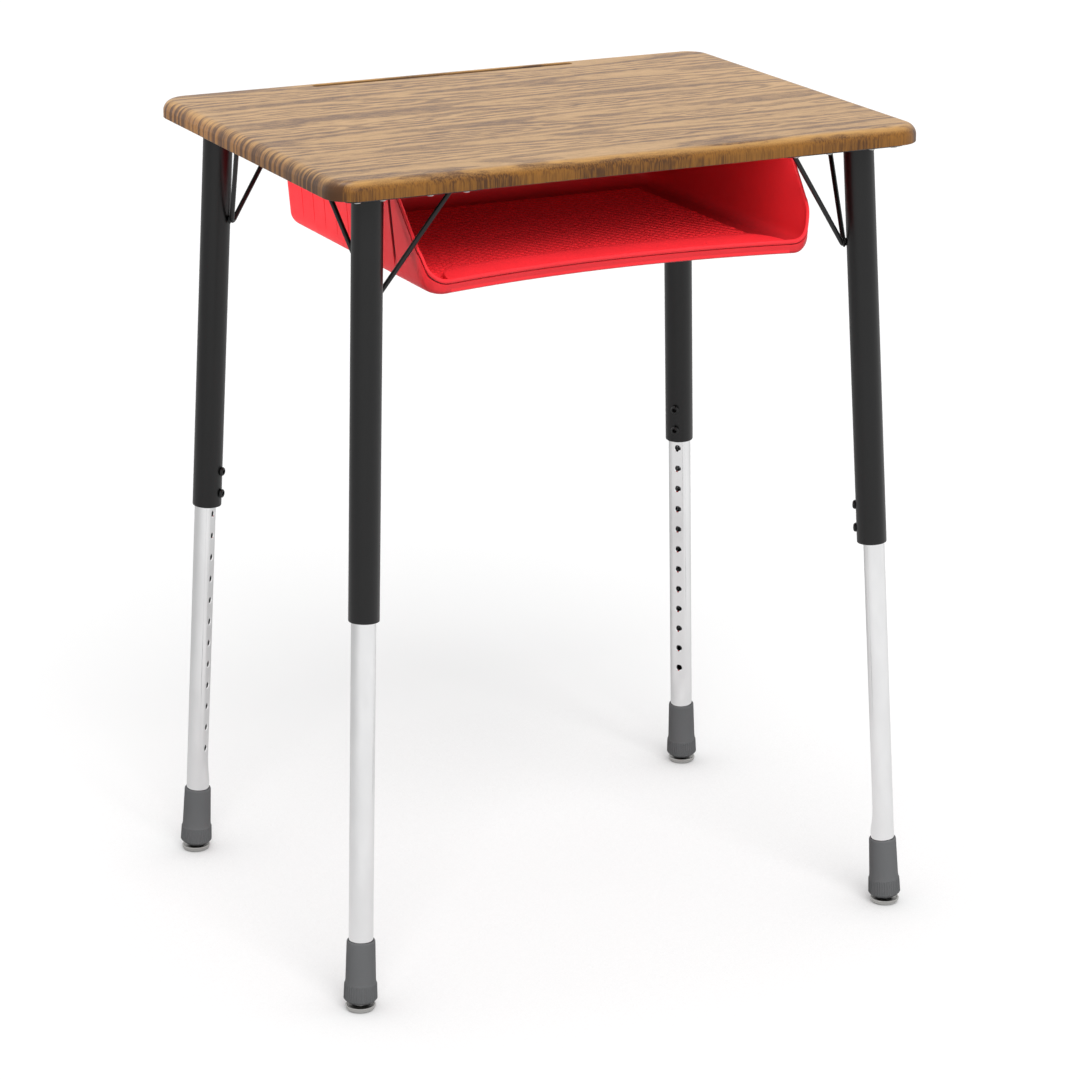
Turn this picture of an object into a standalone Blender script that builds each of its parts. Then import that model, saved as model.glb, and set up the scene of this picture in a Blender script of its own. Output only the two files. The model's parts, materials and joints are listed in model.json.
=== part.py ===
"""Height-adjustable school desk with a moulded book box.

Metres, +Z up. The origin is on the floor under the middle of the desktop, and the front faces -Y.
Run it with: blender --background --python part.py
"""

import math

import bmesh
import bpy
from mathutils import Vector

# Gap kept between pieces that touch on the real desk
SEAT_GAP = 0.0003

# Desktop
TOP_WIDTH = 0.6604
TOP_DEPTH = 0.494
TOP_THICKNESS = 0.019
TOP_HEIGHT = 0.8664
TOP_CORNER_RADIUS = 0.031
TOP_EDGE_RADIUS = 0.012
TOP_LOWER_CHAMFER = 0.0012
PENCIL_GROOVE_LENGTH = 0.316
PENCIL_GROOVE_WIDTH = 0.013
PENCIL_GROOVE_DEPTH = 0.004
PENCIL_GROOVE_FROM_BACK = 0.021

# Legs: where they meet the underside, and how far they lean out on the diagonals
LEG_INSET_X = 0.0535
LEG_INSET_Y = 0.0472
LEG_SPLAY = math.radians(3.55)
UPPER_LEG_DIAMETER = 0.03175
UPPER_LEG_WALL = 0.0021
UPPER_LEG_LENGTH = 0.431
LEG_SLACK = 0.00107
LOWER_LEG_WALL = 0.00165
LOWER_LEG_ABOVE_TOP_HOLE = 0.0146
LOWER_LEG_FLAT_DEPTH = 0.0044
LOWER_LEG_FLAT_WIDTH = 0.0127
LOWER_LEG_FLAT_RUNOUT = 0.009
HOLE_PITCH = 0.0254
HOLE_CLEARANCE = 0.0003
LAST_HOLE_ABOVE_BOOT = 0.040
FLAT_BELOW_LAST_HOLE = 0.014

# Height screws
HEIGHT_SCREW_DIAMETER = 0.006
HEIGHT_SCREW_HEAD_OVERHANG = 0.002
HEIGHT_SCREW_HEAD_HEIGHT = 0.003
HEIGHT_SCREW_SOCKET = 0.0046
HEIGHT_SCREW_SOCKET_DEPTH = 0.0016
HEIGHT_SCREW_SOCKET_RIM = 0.0005
LOWER_SCREW_ABOVE_END = 0.015
TAPPED_COLLAR_WALL = 0.0022
TAPPED_COLLAR_TO_FLAT = 0.0022

# Corner plates and braces, measured from the leg's axis at the underside
PLATE_THICKNESS = 0.003
PLATE_OUTER_MARGIN = 0.036
PLATE_INNER_MARGIN = 0.010
PLATE_GUSSET = 0.030
PLATE_END_MARGIN = 0.026
PLATE_CORNER_RADIUS = 0.009
BRACE_DIAMETER = 0.0052
BRACE_REACH = 0.0527
BRACE_SPREAD = 0.0689
BRACE_DROP = 0.1151
BRACE_BEND_RADIUS = 0.0042

# Wood screws through the plates and the book box's flange
WOOD_SCREW_DIAMETER = 0.0038
WOOD_SCREW_LENGTH = 0.013
WOOD_SCREW_HEAD_DIAMETER = 0.0086
WOOD_SCREW_HEAD_HEIGHT = 0.0026
PLATE_SCREW_EDGE = 0.006
PLATE_SCREW_STEP = 0.0385

# Book box
BOX_SIDE_TO_LEG = 0.0502
BOX_BACK_TO_LEG = 0.0388
BOX_FRONT_SETBACK = 0.057
BOX_HEIGHT = 0.111
BOX_WALL = 0.003
BOX_DRAFT = 0.006
BOX_BOTTOM_RADIUS = 0.016
BOX_FRONT_ROUNDING = 0.4
BOX_FRONT_CORNER_EXTRA = 0.006
BOX_BACK_CORNER_EXTRA = 0.004
BOX_LIP_HEIGHT = 0.0155
BOX_LIP_BOW = 0.0285
BOX_SWEEP_RUN = 0.082
BOX_SWEEP_POWER = 1.05
BOX_OPENING_RADIUS = 0.022
BOX_FLANGE_WIDTH = 0.016
BOX_FLANGE_THICKNESS = 0.003
BOX_SCREW_FROM_BACK = 0.070
BOX_SCREW_STEP = 0.120

# Raised band on the tray's floor behind the lip, and the upright slot in each side wall
BOX_BAND_DEPTH = 0.0535
BOX_BAND_BELOW_LIP = 0.0016
BOX_BAND_FALL = 0.0006
BOX_BAND_SLOPE = 0.008
BOX_BAND_TO_SIDE = 0.0345
BOX_BAND_END = 0.028
BOX_SLOT_WIDTH = 0.005
BOX_SLOT_DEPTH = 0.0018
BOX_SLOT_FROM_FRONT = 0.0555
BOX_SLOT_ABOVE_BEND = 0.0045
BOX_SLOT_BELOW_FLANGE = 0.006

# Boots
BOOT_HEIGHT = 0.067
BOOT_TOP_WALL = 0.0018
BOOT_BODY_FLARE = 0.0010
BOOT_BAND_HEIGHT = 0.0170
BOOT_BAND_STEP = 0.0012
BOOT_BAND_FLARE = 0.0006
BOOT_BAND_SHOULDER = 0.003
BOOT_CHAMFER = 0.0032
BOOT_CHAMFER_INSET = 0.0038
BOOT_TOP_CHAMFER = 0.0022
BOOT_STEM_MARGIN = 0.0065
BOOT_RECESS_SIDE_CLEARANCE = 0.0046
BOOT_RECESS_TOP_CLEARANCE = 0.0045

# Glides
GLIDE_DIAMETER = 0.0314
GLIDE_FOOT_DIAMETER = 0.023
GLIDE_HEIGHT = 0.0062
GLIDE_SOLE_THICKNESS = 0.0019
GLIDE_HUB_WALL = 0.0021
GLIDE_BALL_RADIUS = 0.0042
GLIDE_NECK_RADIUS = 0.0019
GLIDE_NECK_PLAY = 0.00105
GLIDE_STEM_RADIUS = 0.004
GLIDE_STEM_LENGTH = 0.012
GLIDE_TO_BOOT = 0.0026

# Facets
TUBE_SIDES = 24
ROD_SIDES = 8
SOCKET_SCREW_SIDES = 12
WOOD_SCREW_SIDES = 8
HOLE_SIDES = 8
STUD_SIDES = 8
GLIDE_SIDES = 14

# Places worked out from the sizes above
UNDERSIDE = TOP_HEIGHT - TOP_THICKNESS
PLATE_TOP = UNDERSIDE - SEAT_GAP
PLATE_BOTTOM = PLATE_TOP - PLATE_THICKNESS
UPPER_RADIUS = UPPER_LEG_DIAMETER / 2
UPPER_BORE = UPPER_RADIUS - UPPER_LEG_WALL
LOWER_RADIUS = UPPER_BORE - LEG_SLACK
LOWER_FLAT = LOWER_RADIUS - LOWER_LEG_FLAT_DEPTH
UPPER_SHIFT = LEG_SLACK - SEAT_GAP
BRACE_RADIUS = BRACE_DIAMETER / 2
LEG_X = TOP_WIDTH / 2 - LEG_INSET_X
LEG_Y = TOP_DEPTH / 2 - LEG_INSET_Y
BOX_HALF_WIDTH = LEG_X - BOX_SIDE_TO_LEG
BOX_BACK = LEG_Y - BOX_BACK_TO_LEG
BOX_FRONT_MIDDLE = -TOP_DEPTH / 2 + BOX_FRONT_SETBACK
BOX_FLOOR = UNDERSIDE - BOX_HEIGHT
BOX_LIP = BOX_FLOOR + BOX_LIP_HEIGHT

# Along a leg's axis, from the floor
LEG_TOP = (PLATE_BOTTOM - SEAT_GAP) / math.cos(LEG_SPLAY)
UPPER_END = LEG_TOP - UPPER_LEG_LENGTH
LOWER_SCREW = UPPER_END + LOWER_SCREW_ABOVE_END
SOCKET_RADIUS = GLIDE_BALL_RADIUS + SEAT_GAP
BALL_HEIGHT = GLIDE_SOLE_THICKNESS + SOCKET_RADIUS
HUB_RADIUS = SOCKET_RADIUS + GLIDE_HUB_WALL
HUB_ABOVE_BALL = math.sqrt(SOCKET_RADIUS**2 - (GLIDE_NECK_RADIUS + GLIDE_NECK_PLAY) ** 2)
BOOT_BOTTOM = GLIDE_HEIGHT + GLIDE_TO_BOOT
BOOT_RECESS = BALL_HEIGHT + HUB_ABOVE_BALL + BOOT_RECESS_TOP_CLEARANCE
BOOT_SEAT = BOOT_RECESS + GLIDE_STEM_LENGTH + BOOT_STEM_MARGIN
BOOT_TOP = BOOT_BOTTOM + BOOT_HEIGHT
TOP_HOLE = LOWER_SCREW + HOLE_PITCH
HOLE_COUNT = 1 + int((TOP_HOLE - BOOT_TOP - LAST_HOLE_ABOVE_BOOT) / HOLE_PITCH)
LAST_HOLE = TOP_HOLE - (HOLE_COUNT - 1) * HOLE_PITCH

# The corners, as the signs of X and Y, and the way inwards as an angle from +X
CORNERS = {
    "front_left": (-1, -1, math.radians(45)),
    "front_right": (1, -1, math.radians(135)),
    "back_right": (1, 1, math.radians(225)),
    "back_left": (-1, 1, math.radians(315)),
}


def clear_scene():
    for old in list(bpy.data.objects):
        bpy.data.objects.remove(old, do_unlink=True)


def finish_material(name, colour, roughness, metallic):
    material = bpy.data.materials.new(name)
    material.use_nodes = True
    shader = material.node_tree.nodes["Principled BSDF"]
    shader.inputs["Base Color"].default_value = (*colour, 1.0)
    shader.inputs["Roughness"].default_value = roughness
    shader.inputs["Metallic"].default_value = metallic
    material.diffuse_color = (*colour, 1.0)
    return material


def place(name, bm, material=None, location=(0, 0, 0), rotation=(0, 0, 0), parent=None):
    """Turns a bmesh into a named object, with its faces outwards and its round sides shaded smooth."""
    bmesh.ops.recalc_face_normals(bm, faces=bm.faces)
    mesh = bpy.data.meshes.new(name)
    bm.to_mesh(mesh)
    bm.free()
    mesh.shade_smooth()
    mesh.set_sharp_from_angle(angle=math.radians(32))
    if material:
        mesh.materials.append(material)
    obj = bpy.data.objects.new(name, mesh)
    bpy.context.scene.collection.objects.link(obj)
    obj.location = location
    obj.rotation_euler = rotation
    obj.parent = parent
    return obj


def empty(name, location, rotation):
    frame = bpy.data.objects.new(name, None)
    bpy.context.scene.collection.objects.link(frame)
    frame.location = location
    frame.rotation_euler = rotation
    return frame


def as_cutter(obj):
    obj.hide_render = True
    obj.display_type = "WIRE"
    return obj


def combine(obj, other, operation):
    modifier = obj.modifiers.new(f"{operation} {other.name}", "BOOLEAN")
    modifier.operation = operation
    modifier.solver = "EXACT"
    modifier.object = other


def skin(rings, wrap=False, bm=None):
    """Joins rings of equal length with quads. The ends are capped, or with wrap joined to each other."""
    bm = bm or bmesh.new()
    loops = [[bm.verts.new(point) for point in ring] for ring in rings]
    pairs = list(zip(loops, loops[1:]))
    if wrap:
        pairs.append((loops[-1], loops[0]))
    else:
        bm.faces.new(loops[0])
        bm.faces.new(loops[-1])
    for below, above in pairs:
        for i in range(len(below)):
            j = (i + 1) % len(below)
            bm.faces.new((below[i], below[j], above[j], above[i]))
    return bm


def circle(radius, z, sides, shift=0.0):
    turns = [math.tau * i / sides for i in range(sides)]
    return [(shift + radius * math.cos(turn), radius * math.sin(turn), z) for turn in turns]


def hexagon(across_flats, z, sides):
    """A hexagon with as many points as a circle, so that the two can be skinned together."""
    points = []
    for i in range(sides):
        turn = math.tau * i / sides
        off_flat = (turn + math.pi / 6) % (math.pi / 3) - math.pi / 6
        radius = across_flats / 2 / math.cos(off_flat)
        points.append((radius * math.cos(turn), radius * math.sin(turn), z))
    return points


def turned(profile, sides):
    """Spins (radius, z) points round Z. The profile starts and ends on the axis."""
    bm = bmesh.new()
    verts = [bm.verts.new((radius, 0, z)) for radius, z in profile]
    edges = [bm.edges.new(pair) for pair in zip(verts, verts[1:])]
    bmesh.ops.spin(
        bm, geom=verts + edges, cent=(0, 0, 0), axis=(0, 0, 1), angle=math.tau, steps=sides, use_merge=True
    )
    bmesh.ops.remove_doubles(bm, verts=bm.verts, dist=1e-6)
    return bm


def arc(centre, radius, start, end, steps):
    """Points on an arc in a plane, from the start angle to the end angle in degrees."""
    angles = [math.radians(start + (end - start) * i / steps) for i in range(steps + 1)]
    return [(centre[0] + radius * math.cos(a), centre[1] + radius * math.sin(a)) for a in angles]


def rounded_outline(corners, steps):
    """A closed outline with each corner (x, y, radius) of an anticlockwise polygon rounded."""
    points = []
    for i, (x, y, radius) in enumerate(corners):
        corner = Vector((x, y))
        before = (Vector(corners[i - 1][:2]) - corner).normalized()
        after = (Vector(corners[(i + 1) % len(corners)][:2]) - corner).normalized()
        half = before.angle(after) / 2
        centre = corner + (before + after).normalized() * radius / math.sin(half)
        start = corner + before * radius / math.tan(half) - centre
        turn = math.copysign(math.pi - 2 * half, -before.cross(after))
        for step in range(steps + 1):
            angle = turn * step / steps
            c, s = math.cos(angle), math.sin(angle)
            points.append((centre.x + c * start.x - s * start.y, centre.y + s * start.x + c * start.y))
    return points


def rectangle(half_x, half_y, radius):
    signs = ((-1, -1), (1, -1), (1, 1), (-1, 1))
    return [(side_x * half_x, side_y * half_y, radius) for side_x, side_y in signs]


# Desktop and its screws


def desktop(material):
    bottom = UNDERSIDE
    levels = [(TOP_LOWER_CHAMFER, bottom), (0.0, bottom + TOP_LOWER_CHAMFER)]
    for r, z in arc((0, TOP_HEIGHT - TOP_EDGE_RADIUS), TOP_EDGE_RADIUS, 0, 90, 5):
        levels.append((TOP_EDGE_RADIUS - r, z))
    rings = []
    for inset, z in levels:
        corners = rectangle(TOP_WIDTH / 2 - inset, TOP_DEPTH / 2 - inset, TOP_CORNER_RADIUS - inset)
        rings.append([(x, y, z) for x, y in rounded_outline(corners, 5)])
    return place("desktop", skin(rings), material)


def pencil_groove():
    """A long bar with round ends, which sinks into the desktop by the groove's depth."""
    half_width = PENCIL_GROOVE_WIDTH / 2
    radius = (half_width**2 + PENCIL_GROOVE_DEPTH**2) / (2 * PENCIL_GROOVE_DEPTH)
    half_length = PENCIL_GROOVE_LENGTH / 2
    profile = [(r, -half_length + radius + z) for r, z in arc((0, 0), radius, -90, 0, 4)]
    profile += [(r, half_length - radius + z) for r, z in arc((0, 0), radius, 0, 90, 4)]
    place_y = TOP_DEPTH / 2 - PENCIL_GROOVE_FROM_BACK
    centre = (0, place_y, TOP_HEIGHT - PENCIL_GROOVE_DEPTH + radius)
    bar = place("pencil_groove_cutter", turned(profile, 16), location=centre, rotation=(0, math.pi / 2, 0))
    return as_cutter(bar)


def wood_screw(name, spot, seat, material):
    """A pan-head screw with its head against a seat, pointing up into the desktop."""
    head = WOOD_SCREW_HEAD_DIAMETER / 2
    shank = WOOD_SCREW_DIAMETER / 2
    low = -WOOD_SCREW_HEAD_HEIGHT
    profile = [(0, low), (head * 0.75, low * 0.85), (head, 0)]
    profile += [(shank, 0), (shank, WOOD_SCREW_LENGTH - shank), (0, WOOD_SCREW_LENGTH)]
    bm = turned(profile, WOOD_SCREW_SIDES)
    return place(name, bm, material, location=(*spot, seat - SEAT_GAP))


def screw_bores(spots):
    """Clearance holes for the wood screws, through what they hold and up into the desktop."""
    bm = bmesh.new()
    radius = WOOD_SCREW_DIAMETER / 2 + SEAT_GAP
    for (x, y), seat in spots:
        ends = (seat - WOOD_SCREW_HEAD_HEIGHT, seat + WOOD_SCREW_LENGTH + SEAT_GAP)
        rings = [[(x + px, y + py, z) for px, py, _ in circle(radius, 0, HOLE_SIDES)] for z in ends]
        skin(rings, bm=bm)
    return as_cutter(place("screw_bore_cutter", bm))


# Corner plates and braces


def corner_point(corner, inwards_x, inwards_y):
    """A plan point from the leg's axis at the underside, along the desk's two edges towards its middle."""
    side_x, side_y, _ = CORNERS[corner]
    return side_x * (LEG_X - inwards_x), side_y * (LEG_Y - inwards_y)


def brace_end():
    """The brace's upper end, along and across the desk's edge from the leg's axis."""
    return (BRACE_REACH + BRACE_SPREAD) / math.sqrt(2), (BRACE_REACH - BRACE_SPREAD) / math.sqrt(2)


def plate_screw_spots():
    """Two screws beside each end of the brace, as distances along the desk's two edges."""
    along = brace_end()[0] + PLATE_SCREW_EDGE
    across = PLATE_SCREW_EDGE - PLATE_OUTER_MARGIN
    front = [(along, across), (along - PLATE_SCREW_STEP, across)]
    return front + [(y, x) for x, y in front]


def leg_plate(corner, material):
    far = brace_end()[0] + PLATE_END_MARGIN
    low = -PLATE_OUTER_MARGIN
    near = PLATE_INNER_MARGIN
    radius = PLATE_CORNER_RADIUS
    gusset = near + PLATE_GUSSET
    corners = [(low, low), (far, low), (far, near), (gusset, near), (near, gusset), (near, far), (low, far)]
    outline = rounded_outline([(x, y, radius) for x, y in corners], 3)
    rings = [[(x, y, z) for x, y in outline] for z in (-PLATE_THICKNESS, 0)]
    x, y = corner_point(corner, 0, 0)
    turn = CORNERS[corner][2] - math.radians(45)
    return place(f"leg_plate_{corner}", skin(rings), material, (x, y, PLATE_TOP), (0, 0, turn))


def brace_path():
    """Centre line of the bent rod. +X points from the leg to the desk's middle, Z is 0 at the underside."""
    top = PLATE_BOTTOM - SEAT_GAP - UNDERSIDE
    stand_off = UPPER_RADIUS + SEAT_GAP + BRACE_RADIUS
    leg_side = UPPER_SHIFT + stand_off / math.cos(LEG_SPLAY) - BRACE_DROP * math.tan(LEG_SPLAY)
    low = Vector((leg_side, 0, -BRACE_DROP))
    ends = [Vector((BRACE_REACH, side * BRACE_SPREAD, top)) for side in (-1, 1)]
    arms = [(end - low).normalized() for end in ends]
    half = arms[0].angle(arms[1]) / 2
    up = (arms[0] + arms[1]).normalized()
    across = (arms[1] - arms[0]).normalized()
    centre = low + up * BRACE_BEND_RADIUS / math.sin(half)
    sweep = math.pi / 2 - half
    path = [ends[0]]
    for step in range(5):
        angle = -sweep + 2 * sweep * step / 4
        path.append(centre + BRACE_BEND_RADIUS * (math.sin(angle) * across - math.cos(angle) * up))
    return path + [ends[1]]


def brace(corner, material):
    path = brace_path()
    rings = []
    for i, point in enumerate(path):
        before = (path[max(i, 1)] - path[max(i, 1) - 1]).normalized()
        after = (path[min(i, len(path) - 2) + 1] - path[min(i, len(path) - 2)]).normalized()
        along = (before + after).normalized()
        # The section stands in the plane that halves the bend, and lies level at the two ends
        plane = Vector((0, 0, 1)) if i in (0, len(path) - 1) else along
        side = Vector((1, 0, 0))
        side = (side - along * side.dot(along)).normalized()
        other = along.cross(side)
        ring = []
        for turn in (math.tau * k / ROD_SIDES for k in range(ROD_SIDES)):
            offset = BRACE_RADIUS * (math.cos(turn) * side + math.sin(turn) * other)
            ring.append(point + offset - along * offset.dot(plane) / along.dot(plane))
        rings.append(ring)
    x, y = corner_point(corner, 0, 0)
    return place(f"brace_{corner}", skin(rings), material, (x, y, UNDERSIDE), (0, 0, CORNERS[corner][2]))


# Legs, built along Z with +X towards the middle of the desk


def leg_frame(corner):
    """An empty on the leg's axis at the floor, which carries the leg's pieces."""
    x, y = corner_point(corner, 0, 0)
    inwards = CORNERS[corner][2]
    lean = UNDERSIDE * math.tan(LEG_SPLAY)
    foot = (x - lean * math.cos(inwards), y - lean * math.sin(inwards), 0)
    return empty(f"leg_axis_{corner}", foot, (0, LEG_SPLAY, inwards))


def screw_heights():
    return {"lower": LOWER_SCREW, "upper": LOWER_SCREW + HOLE_PITCH}


def cross_cylinders(name, heights, radius, start, end, frame):
    """Short cylinders along X at several heights."""
    bm = bmesh.new()
    for height in heights:
        rings = [[(x, px, height + py) for px, py, _ in circle(radius, 0, HOLE_SIDES)] for x in (start, end)]
        skin(rings, bm=bm)
    return as_cutter(place(name, bm, parent=frame))


def upper_leg(corner, frame, material):
    def mitred(radius):
        ring = circle(radius, 0, TUBE_SIDES, UPPER_SHIFT)
        return [(x, y, LEG_TOP + x * math.tan(LEG_SPLAY)) for x, y, _ in ring]

    rings = [
        circle(UPPER_RADIUS, UPPER_END, TUBE_SIDES, UPPER_SHIFT),
        mitred(UPPER_RADIUS),
        mitred(UPPER_BORE),
        circle(UPPER_BORE, UPPER_END, TUBE_SIDES, UPPER_SHIFT),
    ]
    leg = place(f"upper_leg_{corner}", skin(rings, wrap=True), material, parent=frame)
    bore = UPPER_SHIFT + UPPER_BORE
    heights = screw_heights().values()
    hole_radius = HEIGHT_SCREW_DIAMETER / 2 + SEAT_GAP
    collar = cross_cylinders(
        f"collar_{corner}",
        heights,
        hole_radius + TAPPED_COLLAR_WALL,
        LOWER_FLAT + TAPPED_COLLAR_TO_FLAT,
        bore + UPPER_LEG_WALL / 3,
        frame,
    )
    hole = cross_cylinders(f"screw_hole_{corner}", heights, hole_radius, 0, bore + 2 * UPPER_LEG_WALL, frame)
    combine(leg, collar, "UNION")
    combine(leg, hole, "DIFFERENCE")
    return leg


def flatted_section(radius, flat, z):
    """A round section with a flat on the +X side, whose shoulders are quarter ellipses."""
    half = LOWER_LEG_FLAT_WIDTH / 2
    points = arc((0, 0), radius, 90, 270, 12)
    shoulder = [math.radians(22.5 * i) for i in range(1, 5)]
    points += [(flat * math.sin(a), -half - (radius - half) * math.cos(a)) for a in shoulder]
    points += [(flat, -half + LOWER_LEG_FLAT_WIDTH * i / 4) for i in range(1, 4)]
    points += [(flat * math.sin(a), half + (radius - half) * math.cos(a)) for a in reversed(shoulder)]
    return [(x, y, z) for x, y in points]


def round_section(radius, z):
    """The same points as the flatted section, pushed out to a circle."""
    ring = [Vector(point) for point in flatted_section(LOWER_RADIUS, LOWER_FLAT, 0)]
    return [(*(radius * point.normalized()).xy, z) for point in ring]


def lower_leg(corner, frame, material):
    bottom = BOOT_SEAT + SEAT_GAP
    flat_start = LAST_HOLE - FLAT_BELOW_LAST_HOLE
    round_end = flat_start - LOWER_LEG_FLAT_RUNOUT
    top = TOP_HOLE + LOWER_LEG_ABOVE_TOP_HOLE
    inner = LOWER_RADIUS - LOWER_LEG_WALL
    inner_flat = LOWER_FLAT - LOWER_LEG_WALL
    rings = [
        round_section(LOWER_RADIUS, bottom),
        round_section(LOWER_RADIUS, round_end),
        flatted_section(LOWER_RADIUS, LOWER_FLAT, flat_start),
        flatted_section(LOWER_RADIUS, LOWER_FLAT, top),
        flatted_section(inner, inner_flat, top),
        flatted_section(inner, inner_flat, flat_start),
        round_section(inner, round_end),
        round_section(inner, bottom),
    ]
    leg = place(f"lower_leg_{corner}", skin(rings, wrap=True), material, parent=frame)
    holes = cross_cylinders(
        f"height_hole_{corner}",
        [TOP_HOLE - i * HOLE_PITCH for i in range(HOLE_COUNT)],
        HEIGHT_SCREW_DIAMETER / 2 + HOLE_CLEARANCE,
        LOWER_FLAT - 2 * LOWER_LEG_WALL,
        LOWER_FLAT + LOWER_LEG_WALL,
        frame,
    )
    combine(leg, holes, "DIFFERENCE")
    return leg


def height_screw(name, height, frame, material):
    """A button-head screw with a hexagon socket, whose tip stands at the mouth of a hole in the lower leg."""
    shank = HEIGHT_SCREW_DIAMETER / 2
    head = shank + HEIGHT_SCREW_HEAD_OVERHANG
    rim = HEIGHT_SCREW_SOCKET / math.sqrt(3) + HEIGHT_SCREW_SOCKET_RIM
    seat = UPPER_SHIFT + UPPER_RADIUS + SEAT_GAP
    tip = LOWER_FLAT + SEAT_GAP
    crown = seat + HEIGHT_SCREW_HEAD_HEIGHT
    sides = SOCKET_SCREW_SIDES
    rings = [
        circle(shank, tip, sides),
        circle(shank, seat, sides),
        circle(head, seat, sides),
        circle(head * 0.9, seat + HEIGHT_SCREW_HEAD_HEIGHT * 0.6, sides),
        circle(rim, crown, sides),
        hexagon(HEIGHT_SCREW_SOCKET, crown, sides),
        hexagon(HEIGHT_SCREW_SOCKET, crown - HEIGHT_SCREW_SOCKET_DEPTH, sides),
    ]
    return place(name, skin(rings), material, (0, 0, height), (0, math.pi / 2, 0), frame)


# Boots and glides


def boot(corner, frame, material):
    sides = TUBE_SIDES
    bore = LOWER_RADIUS + SEAT_GAP
    top = bore + BOOT_TOP_WALL
    body = top + BOOT_BODY_FLARE
    band = body + BOOT_BAND_STEP
    foot = band + BOOT_BAND_FLARE
    band_low = BOOT_BOTTOM + BOOT_CHAMFER
    band_high = band_low + BOOT_BAND_HEIGHT
    stem = GLIDE_STEM_RADIUS + SEAT_GAP
    recess = HUB_RADIUS + BOOT_RECESS_SIDE_CLEARANCE

    rings = [
        circle(foot - BOOT_CHAMFER_INSET, BOOT_BOTTOM, sides),
        circle(foot, band_low, sides),
        circle(band, band_high, sides),
        circle(body, band_high + BOOT_BAND_SHOULDER, sides),
        circle(top, BOOT_TOP - BOOT_TOP_CHAMFER, sides),
        circle(bore + BOOT_TOP_WALL / 3, BOOT_TOP, sides),
        circle(bore, BOOT_TOP, sides),
        circle(bore, BOOT_SEAT, sides),
        circle(stem, BOOT_SEAT, sides),
        circle(stem, BOOT_RECESS, sides),
        circle(recess, BOOT_RECESS, sides),
        circle(recess, BOOT_BOTTOM, sides),
    ]
    return place(f"boot_{corner}", skin(rings, wrap=True), material, parent=frame)


def ball_centre():
    """Height of the glide's ball along the leg's axis."""
    return BALL_HEIGHT / math.cos(LEG_SPLAY)


def glide_stud(corner, frame, material):
    """The ball, the neck and the stem that is pressed into the boot. The origin is at the ball's middle."""
    centre = ball_centre()
    stem_low = BOOT_RECESS - centre
    stem_high = stem_low + GLIDE_STEM_LENGTH
    neck_turn = math.degrees(math.acos(GLIDE_NECK_RADIUS / GLIDE_BALL_RADIUS))
    profile = [(0, -GLIDE_BALL_RADIUS)]
    profile += arc((0, 0), GLIDE_BALL_RADIUS, -90, neck_turn, 5)[1:]
    profile += [(GLIDE_NECK_RADIUS, stem_low), (GLIDE_STEM_RADIUS, stem_low)]
    profile += [(GLIDE_STEM_RADIUS, stem_high - GLIDE_STEM_RADIUS / 4), (GLIDE_STEM_RADIUS * 0.75, stem_high)]
    profile += [(0, stem_high)]
    return place(f"glide_stud_{corner}", turned(profile, STUD_SIDES), material, (0, 0, centre), parent=frame)


def glide_disc(corner, frame, material):
    """The dished foot, level on the floor, with a socket for the ball. The origin is at the ball's middle."""
    centre = frame.matrix_basis @ Vector((0, 0, ball_centre()))
    rim = GLIDE_DIAMETER / 2
    foot = GLIDE_FOOT_DIAMETER / 2
    mouth = math.degrees(math.asin(HUB_ABOVE_BALL / SOCKET_RADIUS))
    lip = GLIDE_HEIGHT * 0.3
    profile = [(0, 0), (foot, 0)]
    profile += [(foot + (rim - foot) * 0.6, GLIDE_HEIGHT * 0.22), (rim, GLIDE_HEIGHT - lip)]
    profile += [(rim, GLIDE_HEIGHT - lip * 0.3), (rim - lip * 0.6, GLIDE_HEIGHT)]
    profile += [(HUB_RADIUS + lip, GLIDE_HEIGHT - lip * 0.4), (HUB_RADIUS, GLIDE_HEIGHT + lip * 0.4)]
    profile += [(HUB_RADIUS, BALL_HEIGHT + HUB_ABOVE_BALL)]
    profile = [(r, z - BALL_HEIGHT) for r, z in profile]
    profile += arc((0, 0), SOCKET_RADIUS, mouth, -90, 5)[:-1] + [(0, -SOCKET_RADIUS)]
    bm = turned(profile, GLIDE_SIDES)
    return place(f"glide_disc_{corner}", bm, material, centre, (0, 0, CORNERS[corner][2]))


# Book box


def box_level(wall, rounding, z, widen):
    """The tray's outline at a height: bowed front, round corners, straight sides and back."""
    inset = wall + rounding
    half = BOX_HALF_WIDTH - BOX_DRAFT + widen - inset
    middle = BOX_FRONT_MIDDLE + wall + rounding * BOX_FRONT_ROUNDING
    back = BOX_BACK - BOX_DRAFT + widen - inset
    front_radius = BOX_BOTTOM_RADIUS + BOX_FRONT_CORNER_EXTRA - inset
    back_radius = BOX_BOTTOM_RADIUS + BOX_BACK_CORNER_EXTRA - inset
    curve = BOX_LIP_BOW / BOX_HALF_WIDTH**2
    # The corner's arc starts where its tangent is the bow's
    reach = half - front_radius
    for _ in range(12):
        slope = math.atan(2 * curve * reach)
        reach = half - front_radius * (1 + math.sin(slope))
    centre_y = middle - curve * reach**2 + front_radius * math.cos(slope)
    points = []
    for i in range(9):
        x = -reach + 2 * reach * i / 8
        points.append((x, middle - curve * x**2))
    points += arc((half - front_radius, centre_y), front_radius, 270 - math.degrees(slope), 360, 4)[1:]
    points += arc((half - back_radius, back - back_radius), back_radius, 0, 90, 3)
    points += arc((back_radius - half, back - back_radius), back_radius, 90, 180, 3)
    points += arc((front_radius - half, centre_y), front_radius, 180, 270 + math.degrees(slope), 4)[:-1]
    return [(x, y, z) for x, y in points]


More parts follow.
